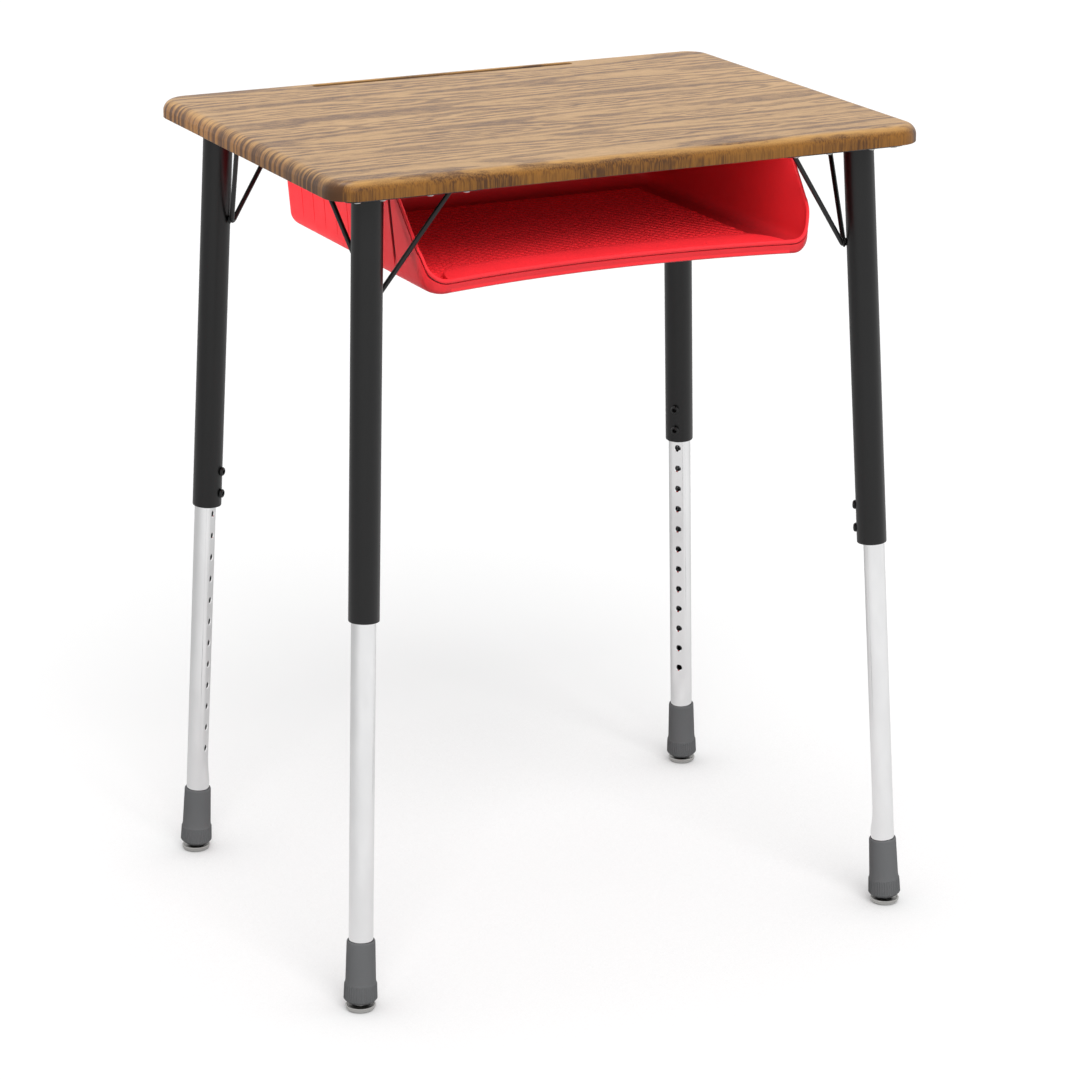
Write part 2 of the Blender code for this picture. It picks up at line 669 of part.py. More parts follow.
def book_box(material):
    top = UNDERSIDE - SEAT_GAP
    bend = BOX_FLOOR + BOX_BOTTOM_RADIUS
    flange = top - BOX_FLANGE_THICKNESS
    rings = []
    for r, z in arc((0, bend), BOX_BOTTOM_RADIUS, -90, 0, 3):
        rings.append(box_level(0, BOX_BOTTOM_RADIUS - r, z, 0))
    rings.append(box_level(0, 0, flange, BOX_DRAFT))
    rings.append(box_level(-BOX_FLANGE_WIDTH, 0, flange, BOX_DRAFT))
    rings.append(box_level(-BOX_FLANGE_WIDTH, 0, top, BOX_DRAFT))
    rings.append(box_level(BOX_WALL, 0, top, BOX_DRAFT))
    inner = BOX_BOTTOM_RADIUS - BOX_WALL
    for r, z in arc((0, bend), inner, 0, -90, 3):
        rings.append(box_level(BOX_WALL, inner - r, z, 0))
    return place("book_box", skin(rings), material)


def side_sweep_cutter():
    """Cuts the front away above the lip, along the side walls' swept edges."""
    front = BOX_FRONT_MIDDLE - BOX_LIP_BOW
    rise = UNDERSIDE - BOX_LIP
    ahead = front - TOP_DEPTH / 4
    outline = [(ahead, BOX_LIP)]
    for i in range(11):
        share = i / 10
        outline.append((front + BOX_SWEEP_RUN * share**BOX_SWEEP_POWER, BOX_LIP + rise * share))
    above = UNDERSIDE + TOP_THICKNESS
    outline += [(front + BOX_SWEEP_RUN, above), (ahead, above)]
    rings = [[(side * TOP_WIDTH / 2, y, z) for y, z in outline] for side in (-1, 1)]
    return as_cutter(place("side_sweep_cutter", skin(rings)))


def front_opening_cutter():
    """Cuts the front wall down to the lip between the side walls, with round lower corners."""
    half = BOX_HALF_WIDTH - BOX_DRAFT - BOX_WALL - SEAT_GAP
    radius = BOX_OPENING_RADIUS
    above = UNDERSIDE + TOP_THICKNESS
    outline = arc((radius - half, BOX_LIP + radius), radius, 180, 270, 5)
    outline += arc((half - radius, BOX_LIP + radius), radius, 270, 360, 5)
    outline += [(half, above), (-half, above)]
    ends = (BOX_FRONT_MIDDLE - TOP_DEPTH / 4, BOX_FRONT_MIDDLE + BOX_BOTTOM_RADIUS)
    rings = [[(x, y, z) for x, z in outline] for y in ends]
    return as_cutter(place("front_opening_cutter", skin(rings)))


def box_band():
    """The ridge along the bowed lip, round at both ends, which is fused with the tray."""
    curve = BOX_LIP_BOW / BOX_HALF_WIDTH**2
    straight = BOX_HALF_WIDTH - BOX_BAND_TO_SIDE - BOX_BAND_END
    ends = [math.radians(20 * i) for i in range(1, 5)]
    stations = [(-straight - BOX_BAND_END * math.sin(a), math.cos(a)) for a in reversed(ends)]
    stations += [(straight * (i / 3 - 1), 1.0) for i in range(7)]
    stations += [(straight + BOX_BAND_END * math.sin(a), math.cos(a)) for a in ends]
    low = BOX_FLOOR + BOX_WALL / 2
    high = BOX_LIP - BOX_BAND_BELOW_LIP
    rings = []
    for x, swell in stations:
        front = BOX_FRONT_MIDDLE + BOX_WALL / 2 - curve * x**2
        back = front + BOX_WALL + BOX_BAND_DEPTH * swell
        slope = BOX_BAND_SLOPE * swell
        crest = high - BOX_BAND_FALL
        section = [(front, low), (front, high), (back - slope, crest)]
        section += [(back - slope * 0.6, crest - (crest - low) * 0.2), (back, low)]
        rings.append([(x, y, z) for y, z in section])
    return as_cutter(place("box_band", skin(rings)))


def side_slots():
    """Sinks an upright slot with a round lower end into the outer face of each side wall."""
    bend = BOX_FLOOR + BOX_BOTTOM_RADIUS
    flange = UNDERSIDE - SEAT_GAP - BOX_FLANGE_THICKNESS
    middle = BOX_FRONT_MIDDLE + BOX_SLOT_FROM_FRONT
    radius = BOX_SLOT_WIDTH / 2
    outline = arc((middle, bend + BOX_SLOT_ABOVE_BEND + radius), radius, 180, 360, 5)
    outline += [(middle + radius, flange - BOX_SLOT_BELOW_FLANGE), (middle - radius, flange - BOX_SLOT_BELOW_FLANGE)]
    bm = bmesh.new()
    for side in (-1, 1):
        rings = []
        for offset in (-BOX_SLOT_DEPTH, BOX_SLOT_DEPTH):
            ring = []
            for y, z in outline:
                half = BOX_HALF_WIDTH - BOX_DRAFT * (flange - z) / (flange - bend)
                ring.append((side * (half + offset), y, z))
            rings.append(ring)
        skin(rings, bm=bm)
    return as_cutter(place("side_slot_cutter", bm))


def box_screw_spots():
    """Two screws in each side flange and two in the back flange, in the flange's middle."""
    half = BOX_HALF_WIDTH + BOX_FLANGE_WIDTH / 2
    spots = []
    for side in (-1, 1):
        spots.append((side * half, BOX_BACK - BOX_SCREW_FROM_BACK - BOX_SCREW_STEP))
        spots.append((side * half, BOX_BACK - BOX_SCREW_FROM_BACK))
        spots.append((side * BOX_SCREW_STEP, BOX_BACK + BOX_FLANGE_WIDTH / 2))
    return spots


def build():
    clear_scene()
    wood = finish_material("wood_laminate", (0.42, 0.27, 0.14), 0.45, 0.0)
    red = finish_material("red_plastic", (0.75, 0.03, 0.05), 0.5, 0.0)
    black = finish_material("black_enamel", (0.03, 0.03, 0.03), 0.3, 0.0)
    bright = finish_material("bright_plate", (0.82, 0.82, 0.82), 0.22, 1.0)
    grey = finish_material("grey_plastic", (0.16, 0.165, 0.17), 0.7, 0.0)
    zinc = finish_material("zinc_plate", (0.72, 0.72, 0.7), 0.35, 1.0)

    top = desktop(wood)
    box = book_box(red)
    combine(box, side_sweep_cutter(), "DIFFERENCE")
    combine(box, front_opening_cutter(), "DIFFERENCE")
    combine(box, box_band(), "UNION")
    combine(box, side_slots(), "DIFFERENCE")
    bored = [top, box]
    screw_spots = []
    for corner in CORNERS:
        plate = leg_plate(corner, black)
        bored.append(plate)
        brace(corner, black)
        for i, inwards in enumerate(plate_screw_spots(), 1):
            spot = corner_point(corner, *inwards)
            wood_screw(f"plate_screw_{corner}_{i}", spot, PLATE_BOTTOM, zinc)
            screw_spots.append((spot, PLATE_BOTTOM))
        frame = leg_frame(corner)
        upper_leg(corner, frame, black)
        lower_leg(corner, frame, bright)
        for level, height in screw_heights().items():
            height_screw(f"height_screw_{corner}_{level}", height, frame, black)
        boot(corner, frame, grey)
        glide_stud(corner, frame, zinc)
        glide_disc(corner, frame, zinc)
    flange_bottom = UNDERSIDE - SEAT_GAP - BOX_FLANGE_THICKNESS
    for i, spot in enumerate(box_screw_spots(), 1):
        wood_screw(f"box_screw_{i}", spot, flange_bottom, zinc)
        screw_spots.append((spot, flange_bottom))
    bores = screw_bores(screw_spots)
    for obj in bored:
        combine(obj, bores, "DIFFERENCE")
    combine(top, pencil_groove(), "DIFFERENCE")


build()
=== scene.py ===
"""Finished pieces for a height-adjustable study desk with a moulded book box.

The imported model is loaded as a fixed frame, and each operator makes one group of pieces on it.
Metres, +Z up, the front of the desk faces -Y.
"""

import json
import math

import bmesh
import bpy
from bpy.props import FloatProperty, FloatVectorProperty, IntProperty, PointerProperty
from mathutils import Matrix, Vector

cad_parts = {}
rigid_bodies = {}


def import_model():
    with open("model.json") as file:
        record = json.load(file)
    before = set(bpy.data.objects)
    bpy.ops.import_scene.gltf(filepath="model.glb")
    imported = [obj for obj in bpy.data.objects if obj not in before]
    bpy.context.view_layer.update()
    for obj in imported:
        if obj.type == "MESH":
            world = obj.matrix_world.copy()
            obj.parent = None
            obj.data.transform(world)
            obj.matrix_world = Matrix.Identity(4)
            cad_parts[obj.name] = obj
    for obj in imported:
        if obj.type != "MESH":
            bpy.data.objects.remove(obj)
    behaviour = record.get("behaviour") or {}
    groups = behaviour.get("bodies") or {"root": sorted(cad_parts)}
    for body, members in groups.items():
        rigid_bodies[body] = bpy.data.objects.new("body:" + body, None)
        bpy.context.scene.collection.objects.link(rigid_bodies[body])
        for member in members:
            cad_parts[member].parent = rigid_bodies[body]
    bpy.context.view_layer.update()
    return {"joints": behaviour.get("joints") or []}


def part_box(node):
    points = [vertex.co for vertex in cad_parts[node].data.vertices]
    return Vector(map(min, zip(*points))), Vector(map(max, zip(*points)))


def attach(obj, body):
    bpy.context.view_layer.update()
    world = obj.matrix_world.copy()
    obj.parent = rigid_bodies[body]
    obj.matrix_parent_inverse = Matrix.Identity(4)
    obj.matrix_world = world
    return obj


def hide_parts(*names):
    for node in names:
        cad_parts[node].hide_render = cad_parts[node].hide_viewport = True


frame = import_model()

bl_info = {
    "name": "Study desk",
    "version": (1, 0, 0),
    "blender": (4, 5, 0),
    "location": "3D View > Sidebar > Study desk",
    "description": "Makes the finished pieces of a height-adjustable study desk",
    "category": "Object",
}

# What the frame gives: the desktop's box, the joints and where each leg's line runs
TOP_LOW, TOP_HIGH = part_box("desktop")
UNDERSIDE = TOP_LOW.z
JOINTS = {joint["name"]: joint for joint in frame["joints"]}
CORNERS = {"front_left": (-1, -1), "front_right": (1, -1), "back_right": (1, 1), "back_left": (-1, 1)}
LEG_AXIS = {corner: Vector(JOINTS[f"leg_height_{corner}"]["axis"]).normalized() for corner in CORNERS}
BALL = {corner: Vector(JOINTS[f"glide_tilt_{corner}"]["pos_m"]) for corner in CORNERS}
BALL_HEIGHT = BALL["front_left"].z
FOOT = {corner: BALL[corner] - axis * (BALL[corner].z / axis.z) for corner, axis in LEG_AXIS.items()}
SPLAY = math.acos(LEG_AXIS["front_left"].z)

# Clearance of a piece at its seat, and what counts as no distance at all
SEAT_GAP = 0.0003
TINY = 1e-6

# Leg line at the underside, as distances from the middle of the desk
LEG_LEAN = UNDERSIDE * math.tan(SPLAY) / math.sqrt(2)
LEG_X = abs(FOOT["front_right"].x) - LEG_LEAN
LEG_Y = abs(FOOT["front_right"].y) - LEG_LEAN

# Corner plates and their screws, from the leg's line along the two edges of the desk
PLATE_TOP = UNDERSIDE - SEAT_GAP
PLATE_THICKNESS = 0.003
PLATE_BOTTOM = PLATE_TOP - PLATE_THICKNESS
PLATE_OUTER_MARGIN = 0.036
PLATE_INNER_MARGIN = 0.010
PLATE_GUSSET = 0.030
PLATE_END = 0.112
PLATE_CORNER_RADIUS = 0.009
PLATE_CHAMFER = 0.0005
PLATE_SCREWS_ALONG = (0.0920, 0.0535, 0.0031, -0.0234)
PLATE_SCREWS_ACROSS = -0.030

# Along a leg, from the floor
LEG_TOP = (PLATE_BOTTOM - SEAT_GAP) / math.cos(SPLAY)
BOOT_BOTTOM = 0.0088
BOOT_SEAT = 0.0328
BOOT_RECESS = 0.0143
BOOT_RECESS_RADIUS = 0.0112

# Tray of the book box, from the desk's middle
BOX_HALF_WIDTH = 0.2265
BOX_BACK = 0.161
BOX_FRONT_MIDDLE = -0.190
BOX_FRONT_ROUNDING = 0.4
BOX_FRONT_CORNER_EXTRA = 0.006
BOX_BACK_CORNER_EXTRA = 0.004
BOX_SWEEP_POWER = 1.05
BOX_OPENING_RADIUS = 0.022
BOX_TOP = UNDERSIDE - SEAT_GAP


# Settings that a user would change


def size(description, default):
    return FloatProperty(description=description, default=default, unit="LENGTH", precision=4)


def amount(description, default, low=0.0, high=1.0):
    return FloatProperty(description=description, default=default, min=low, max=high)


def count(description, default):
    return IntProperty(description=description, default=default, min=3)


def colour(description, default):
    limits = {"size": 3, "min": 0.0, "max": 1.0}
    return FloatVectorProperty(description=description, default=default, subtype="COLOR", **limits)


class DesktopSettings(bpy.types.PropertyGroup):
    """The wood-grain top."""

    width: size("Left to right", TOP_HIGH.x - TOP_LOW.x)
    depth: size("Front to back", TOP_HIGH.y - TOP_LOW.y)
    height: size("Top face above the floor", TOP_HIGH.z)
    thickness: size("Of the board", TOP_HIGH.z - TOP_LOW.z)
    corner_radius: size("Of the board's outline", 0.031)
    edge_radius: size("Of the rolled upper edge", 0.012)
    groove_length: size("Of the pencil groove", 0.316)
    groove_width: size("Of the pencil groove", 0.013)
    groove_depth: size("Of the pencil groove", 0.004)
    groove_from_back: size("From the back edge to the groove's middle", 0.021)
    arch_pitch: size("Between the rows of arches in the wood figure", 0.090)
    arch_first: size("Middle of the desk to the backmost row of arches", 0.185)
    light_grain: colour("Ground of the wood figure", (0.49, 0.272, 0.087))
    dark_grain: colour("Streaks of the wood figure", (0.125, 0.060, 0.026))
    edge_tint: colour("What the rolled edge keeps of the colour", (0.50, 0.370, 0.14))
    # Painted shade in the pencil groove, as a share of the colour
    groove_painted_shade: colour("What the pencil groove keeps of that", (0.24, 0.20, 0.15))
    roughness: amount("Of the laminate", 0.34)


class BookBoxSettings(bpy.types.PropertyGroup):
    """The moulded tray under the top."""

    height: size("From the underside of the top", 0.111)
    wall: size("Thickness", 0.003)
    draft: size("How far the walls lean out", 0.006)
    bottom_radius: size("Between walls and floor", 0.016)
    lip: size("Height of the front lip", 0.0155)
    bow: size("How far the front curves back in the middle", 0.0285)
    sweep: size("How far the side walls' edges lean back", 0.082)
    flange_thickness: size("Under the top", 0.003)
    band_depth: size("Of the raised band behind the lip", 0.0565)
    bump_pitch: size("Along a row of bumps", 0.0105)
    bump_rows: size("Between rows of bumps", 0.0065)
    bump_shift: size("Of each row against the last", 0.00324)
    bump_height: size("Above the floor", 0.0010)
    red: colour("Moulded plastic", (0.93, 0.031, 0.042))
    roughness: amount("Of the plastic", 0.46)


class FrameSettings(bpy.types.PropertyGroup):
    """The upper leg tubes, the wire braces and the corner plates."""

    diameter: size("Of the upper legs", 0.03175)
    wall: size("Of the upper legs", 0.0021)
    length: size("Of the upper legs", 0.431)
    shift: size("Inwards from the leg's line", 0.00077)
    brace_diameter: size("Of the bent wire", 0.0052)
    brace_reach: size("From the leg to the wire's upper ends", 0.0527)
    brace_spread: size("Half the distance between the upper ends", 0.0689)
    brace_drop: size("From the underside to the bend", 0.1151)
    brace_bend: size("Radius of the bend at the leg", 0.0042)
    black: colour("Baked enamel", (0.0030, 0.0030, 0.0032))
    roughness: amount("Of the enamel", 0.33)


class LowerLegSettings(bpy.types.PropertyGroup):
    """The bright sliding legs."""

    radius: size("Of the tube", 0.012705)
    wall: size("Of the tube", 0.00165)
    flat_depth: size("Cut off the inward side", 0.0044)
    flat_width: size("Of the flat itself", 0.0127)
    flat_start: size("Above the floor, along the leg", 0.1106)
    runout: size("From round to flat", 0.026)
    top_hole: size("Above the floor, along the leg", 0.4548)
    above_top_hole: size("To the tube's end", 0.0146)
    hole_pitch: size("Between heights", 0.0254)
    hole_radius: size("Of the height holes", 0.0033)
    holes: count("Number of heights", 14)
    plate: colour("Bright plating", (0.88, 0.88, 0.885))
    roughness: amount("Of the plating", 0.13)


class FootSettings(bpy.types.PropertyGroup):
    """The nylon boots and the tilting glides."""

    boot_height: size("Along the leg", 0.067)
    boot_top_wall: size("At the upper edge", 0.0018)
    boot_flare: size("Of the upper part", 0.001)
    band_height: size("Of the ribbed lower band", 0.0170)
    band_step: size("How far the band stands proud", 0.0012)
    band_flare: size("Of the ribbed band", 0.0006)
    chamfer: size("Height of the chamfer under the band", 0.0032)
    chamfer_inset: size("How far the chamfer goes in", 0.0038)
    ribs: count("Round each boot", 40)
    rib_width: size("Of each rib", 0.0013)
    rib_height: size("How far the ribs stand proud", 0.0005)
    glide_diameter: size("Of the dished foot", 0.0314)
    glide_foot: size("Diameter on the floor", 0.023)
    glide_height: size("Of the dished foot", 0.0062)
    ball_radius: size("Of the glide's ball", 0.0042)
    neck_radius: size("Above the ball", 0.0019)
    stem_radius: size("Pressed into the boot", 0.004)
    stem_length: size("Pressed into the boot", 0.012)
    grey: colour("Nylon boots", (0.106, 0.108, 0.111))
    nickel: colour("Glides", (0.44, 0.435, 0.42))


class ScrewSettings(bpy.types.PropertyGroup):
    """The wood screws under the top and the height screws in the legs."""

    head_diameter: size("Of the wood screws", 0.0080)
    head_height: size("Of the wood screws", 0.0016)
    shank: size("Diameter of the wood screws", 0.0038)
    length: size("Of the wood screws", 0.013)
    button_diameter: size("Of the height screws' heads", 0.010)
    button_height: size("Of the height screws' heads", 0.003)
    button_shank: size("Diameter of the height screws", 0.006)
    socket: size("Across the flats of the hexagon", 0.0050)
    socket_depth: size("Of the hexagon", 0.0048)
    seed: IntProperty(description="How the screws happen to be turned", default=7)
    zinc: colour("Wood screws", (0.62, 0.62, 0.60))


class StageSettings(bpy.types.PropertyGroup):
    """The floor, the light and the camera."""

    floor: colour("Pale studio floor", (0.39, 0.39, 0.39))
    sky: amount("Strength of the even light", 0.34, 0.0, 4.0)
    key: amount("Strength of the soft light from the front", 3.4, 0.0, 10.0)
    side: amount("Watts of the spotlight on the left", 92.0, 0.0, 500.0)
    fill: amount("Watts of the small light in the book box", 0.15, 0.0, 5.0)
    lens: FloatProperty(description="Focal length on a 36 mm frame", default=120.757, unit="CAMERA")


# Node sums


class Socket:
    """A node's output, with which sums are written as Python expressions."""

    def __init__(self, tree, output=None):
        self.tree = tree
        self.output = output

    def node(self, kind, settings=None, inputs=None, output=0):
        """Adds a node, sets it and feeds its sockets with values or links. Gives one output or several."""
        made = self.tree.nodes.new(kind)
        for name, value in (settings or {}).items():
            if name == "stops":
                steps = made.color_ramp.elements
                steps.remove(steps[-1])
                steps[0].position = value[0][0]
                for place, _ in value[1:]:
                    steps.new(place)
                for step, (_, tint) in zip(steps, value):
                    step.color = (*tint, 1.0)
            else:
                setattr(made, name, value)
        for key, value in (inputs or {}).items():
            self.feed(made.inputs[key], value)
        if isinstance(output, tuple):
            return [Socket(self.tree, made.outputs[key]) for key in output]
        return Socket(self.tree, made.outputs[output])

    def feed(self, target, value):
        """Links an output to a socket, or sets the socket to a plain value."""
        if isinstance(value, Socket):
            self.tree.links.new(value.output, target)
        else:
            target.default_value = value

    def sum(self, operation, *values):
        """One step of arithmetic on outputs and numbers."""
        return self.node("ShaderNodeMath", {"operation": operation}, dict(enumerate(values)))

    def __add__(self, other):
        return self.sum("ADD", self, other)

    def __sub__(self, other):
        return self.sum("SUBTRACT", self, other)

    def __rsub__(self, other):
        return self.sum("SUBTRACT", other, self)

    def __mul__(self, other):
        return self.sum("MULTIPLY", self, other)

    def __truediv__(self, other):
        return self.sum("DIVIDE", self, other)

    def __abs__(self):
        return self.sum("ABSOLUTE", self)

    __radd__ = __add__
    __rmul__ = __mul__


def noise(at, scale, detail=2.0, roughness=0.5):
    """Noise with one scale, or with its own along X, Y and Z, in turns per metre."""
    if isinstance(scale, float):
        scale = (scale, scale, scale)
    scaled = at.node("ShaderNodeVectorMath", {"operation": "MULTIPLY"}, {0: at, 1: scale})
    inputs = {"Vector": scaled, "Scale": 1.0, "Detail": detail, "Roughness": roughness}
    return at.node("ShaderNodeTexNoise", None, inputs)


def spread(value, low, high):
    """Stretches low to high over 0 to 1, with soft ends."""
    settings = {"interpolation_type": "SMOOTHSTEP"}
    return value.node("ShaderNodeMapRange", settings, {0: value, 1: low, 2: high})


def mix(factor, first, second, blend="MIX"):
    """Mixes two colours."""
    settings = {"data_type": "RGBA", "blend_type": blend}
    return factor.node("ShaderNodeMix", settings, {0: factor, 6: first, 7: second}, 2)


def split(at):
    """A vector's X, Y and Z."""
    return at.node("ShaderNodeSeparateXYZ", None, {0: at}, (0, 1, 2))


def join(start, x=0.0, y=0.0, z=0.0):
    """A vector of three outputs or numbers."""
    return start.node("ShaderNodeCombineXYZ", None, {0: x, 1: y, 2: z})


def dot(at, way):
    """How far a place or a direction reaches along a way."""
    return at.node("ShaderNodeVectorMath", {"operation": "DOT_PRODUCT"}, {0: at, 1: way}, 1)


def turned_by(angles):
    """A rotation by a vector of three angles."""
    return angles.node("FunctionNodeEulerToRotation", None, {0: angles})


def ray_kinds(start):
    """Whether a ray comes from the camera, off a glossy surface or through a clear one."""
    kinds = ("Is Camera Ray", "Is Glossy Ray", "Is Transmission Ray")
    return start.node("ShaderNodeLightPath", output=kinds)


def bump(height, strength, distance):
    """A normal that follows a height."""
    inputs = {"Strength": strength, "Distance": distance, "Height": height}
    return height.node("ShaderNodeBump", None, inputs)


def solid(tint, share=1.0):
    """A colour for a socket, made darker or lighter by a share."""
    return (*(part * share for part in tint), 1.0)


def new_finish(name, plain):
    """A material whose plain values are set on its shader. Gives it, its coordinates and its shader."""
    material = bpy.data.materials.new(name)
    material.use_nodes = True
    tree = material.node_tree
    shader = tree.nodes["Principled BSDF"]
    for key, value in plain.items():
        shader.inputs[key].default_value = value
    at = Socket(tree).node("ShaderNodeTexCoord", output="Object")
    return material, at, shader


def paint(at, shader, tint, roughness, normal):
    """Links what varies over a surface to its shader."""
    for key, value in {"Base Color": tint, "Roughness": roughness, "Normal": normal}.items():
        at.feed(shader.inputs[key], value)


def wood_grain(s):
    """Plain-sawn figure in rows of nested arches, printed as seen from above, so it runs over the edges."""
    if "wood_grain" in bpy.data.materials:
        return bpy.data.materials["wood_grain"]
    material, at, shader = new_finish("wood_grain", {"IOR": 1.45})
    x, y, z = split(at)
    half_width, half_depth, half_groove = s.width / 2, s.depth / 2, s.groove_length / 2

    # Slow and quick wanders, the rows of arches, and the lines that nest in them
    drift = noise(at, (1.4, 7.0, 0.0)) - 0.5
    sway = noise(at, (5.0, 34.0, 0.0)) - 0.5
    eyes = noise(at, (12.0, 6.0, 0.0), 1.0) - 0.5
    shiver = noise(at, (45.0, 170.0, 0.0)) - 0.5
    flow = y + drift * 0.050 + sway * 0.010
    row = abs(at.sum("SINE", (flow - s.arch_first) * (math.pi / s.arch_pitch)))
    near = 1.0 - spread(row, 0.05, 0.60)
    rings = row * 2.7 + x * 3.0 + drift * 4.0 + sway * 1.6 + eyes * 5.0 * near + shiver * 0.5
    lines = spread(at.sum("SINE", rings * math.tau), -0.8, 0.8)

    # Shorter marks along the lines, and the weight of each in the figure
    line = join(at, x, flow)
    patches = spread(noise(line, (5.0, 30.0, 0.0)), 0.34, 0.66)
    dashes = spread(noise(line, (48.0, 330.0, 0.0), 2.0, 0.6), 0.36, 0.64)
    pores = spread(noise(at, (420.0, 800.0, 0.0), 1.0), 0.30, 0.70)
    figure = lines * 0.43 + patches * 0.17 + dashes * 0.26 + pores * 0.14

    # The rolled edge: upright ticks along the front and the back, stripes on the two ends
    edge = 1.0 - spread(z, s.height - 0.0070, s.height - 0.0005)
    ticks = spread(noise(at, (800.0, 800.0, 45.0)), 0.32, 0.68)
    ends = spread(abs(x), half_width - 0.016, half_width - 0.010)
    figure = figure + edge * (1.0 - ends) * (ticks - figure) * 0.42
    figure = figure + edge * ends * ((figure - 0.5) * 0.7 - 0.06)
    stops = []
    for place, share in ((0.16, 0.0), (0.38, 0.42), (0.62, 0.76), (0.88, 1.0)):
        stops.append((place, Vector(s.dark_grain).lerp(Vector(s.light_grain), share)))
    tint = figure.node("ShaderNodeValToRGB", {"stops": stops}, {0: figure})
    tint = mix(edge, tint, solid(s.edge_tint), "MULTIPLY")

    # The pencil groove, which carries painted shade that makes it darker than the face
    sunk = 1.0 - spread(z, s.height - 0.0012, s.height - 0.0002)
    sunk = sunk * (1.0 - spread(abs(x), half_groove + 0.01, half_groove + 0.03))
    sunk = sunk * spread(y, half_depth - 0.05, half_depth - 0.04)
    sunk = sunk * (1.0 - spread(y, half_depth - 0.0130, half_depth - 0.0105))
    tint = mix(sunk, tint, solid(s.groove_painted_shade), "MULTIPLY")
    roughness = s.roughness + (1.0 - figure) * 0.12 - edge * 0.05
    paint(at, shader, tint, roughness, bump(figure, 0.10, 0.0003))
    return material


# Near-black colour of the painted shade in the tray's rim groove, its slots and the foot of its inner walls
PAINTED_SHADE_TINT = (0.03, 0.004, 0.005)


def moulded_plastic(name, tint, roughness, grain, depth):
    """Moulded plastic with a fine spark-eroded grain, a slight cloud in its colour, and painted shade in the
    crevices that the mesh marks.
    """
    if name in bpy.data.materials:
        return bpy.data.materials[name]
    material, at, shader = new_finish(name, {"IOR": 1.46})
    cloud = spread(noise(at, 14.0, 3.0), 0.25, 0.75)
    pits = noise(at, grain, 2.0, 0.6)
    worn = spread(noise(at, 55.0, 3.0, 0.6), 0.40, 0.75)
    clouded = mix(cloud, solid(tint, 0.94), solid(tint, 1.03))
    # Painted shade: where the mesh's attribute is set, the colour is darkened towards a near-black
    crevice = at.node("ShaderNodeAttribute", {"attribute_name": "crevice"}, None, "Fac")
    shaded = mix(crevice * 0.9, clouded, solid(PAINTED_SHADE_TINT))
    paint(at, shader, shaded, roughness + (pits - 0.5) * 0.20 + worn * 0.05, bump(pits, 0.22, depth))
    return material


def baked_enamel(s):
    """Black enamel with an orange-peel surface."""
    if "baked_black" in bpy.data.materials:
        return bpy.data.materials["baked_black"]
    material, at, shader = new_finish("baked_black", {"IOR": 1.45})
    peel = noise(at, 420.0)
    speck = noise(at, 1700.0, 1.0)
    dust = spread(noise(at, 18.0, 3.0, 0.6), 0.35, 0.75)
    dusty = mix(dust, solid(s.black, 0.9), solid(s.black, 1.2))
    roughness = s.roughness + (speck - 0.5) * 0.12 + dust * 0.04
    paint(at, shader, dusty, roughness, bump(peel * 0.7 + speck * 0.3, 0.10, 0.0003))
    return material


def bright_metal(name, tint, roughness, grain, depth):
    """Plated metal with faint polishing marks."""
    if name in bpy.data.materials:
        return bpy.data.materials[name]
    material, at, shader = new_finish(name, {"Metallic": 1.0})
    marks = noise(at, (grain, grain, grain * 0.06), 2.0, 0.6)
    haze = spread(noise(at, (30.0, 30.0, 12.0), 3.0, 0.6), 0.30, 0.75)
    hazy = mix(haze, solid(tint, 0.96), solid(tint, 1.04))
    paint(at, shader, hazy, roughness + (marks - 0.5) * 0.10 + haze * 0.04, bump(marks, 0.05, depth))
    return material


# Mesh making


def clamp(value):
    return min(max(value, 0.0), 1.0)


def circle(radius, z, sides, shift=0.0, lean=0.0):
    """A ring round Z, moved along X, whose height may lean along X."""
    points = []
    for i in range(sides):
        turn = math.tau * i / sides
        x = shift + radius * math.cos(turn)
        points.append((x, radius * math.sin(turn), z + lean * x))
    return points


def skin(rings, wrap=False, bm=None):
    """Joins rings of equal length with quads. The ends are capped, or with wrap joined to each other."""
    bm = bm or bmesh.new()
    loops = [[bm.verts.new(point) for point in ring] for ring in rings]
    pairs = list(zip(loops, loops[1:]))
    if wrap:
        pairs.append((loops[-1], loops[0]))
    else:
        bm.faces.new(loops[0])
        bm.faces.new(loops[-1])
    for below, above in pairs:
        for i in range(len(below)):
            j = (i + 1) % len(below)
            bm.faces.new((below[i], below[j], above[j], above[i]))
    return bm


def lathe(profile, sides, bm=None, centre=(0.0, 0.0, 0.0)):
    """Spins (radius, z) points round an upright axis. A radius of 0 is one point on the axis."""
    bm = bm or bmesh.new()
    rows = []
    for radius, z in profile:
        ring = circle(radius, z, sides) if radius > TINY else [(0.0, 0.0, z)]
        rows.append([bm.verts.new(Vector(centre) + Vector(point)) for point in ring])
    for low, high in zip(rows, rows[1:]):
        for i in range(sides):
            j = i + 1
            corners = (low[i % len(low)], low[j % len(low)], high[j % len(high)], high[i % len(high)])
            bm.faces.new(list(dict.fromkeys(corners)))
    return bm


def arc(centre, radius, start, end, steps):
    """Points on an arc in a plane, from the start angle to the end angle in degrees."""
    angles = [math.radians(start + (end - start) * i / steps) for i in range(steps + 1)]
    return [(centre[0] + radius * math.cos(a), centre[1] + radius * math.sin(a)) for a in angles]


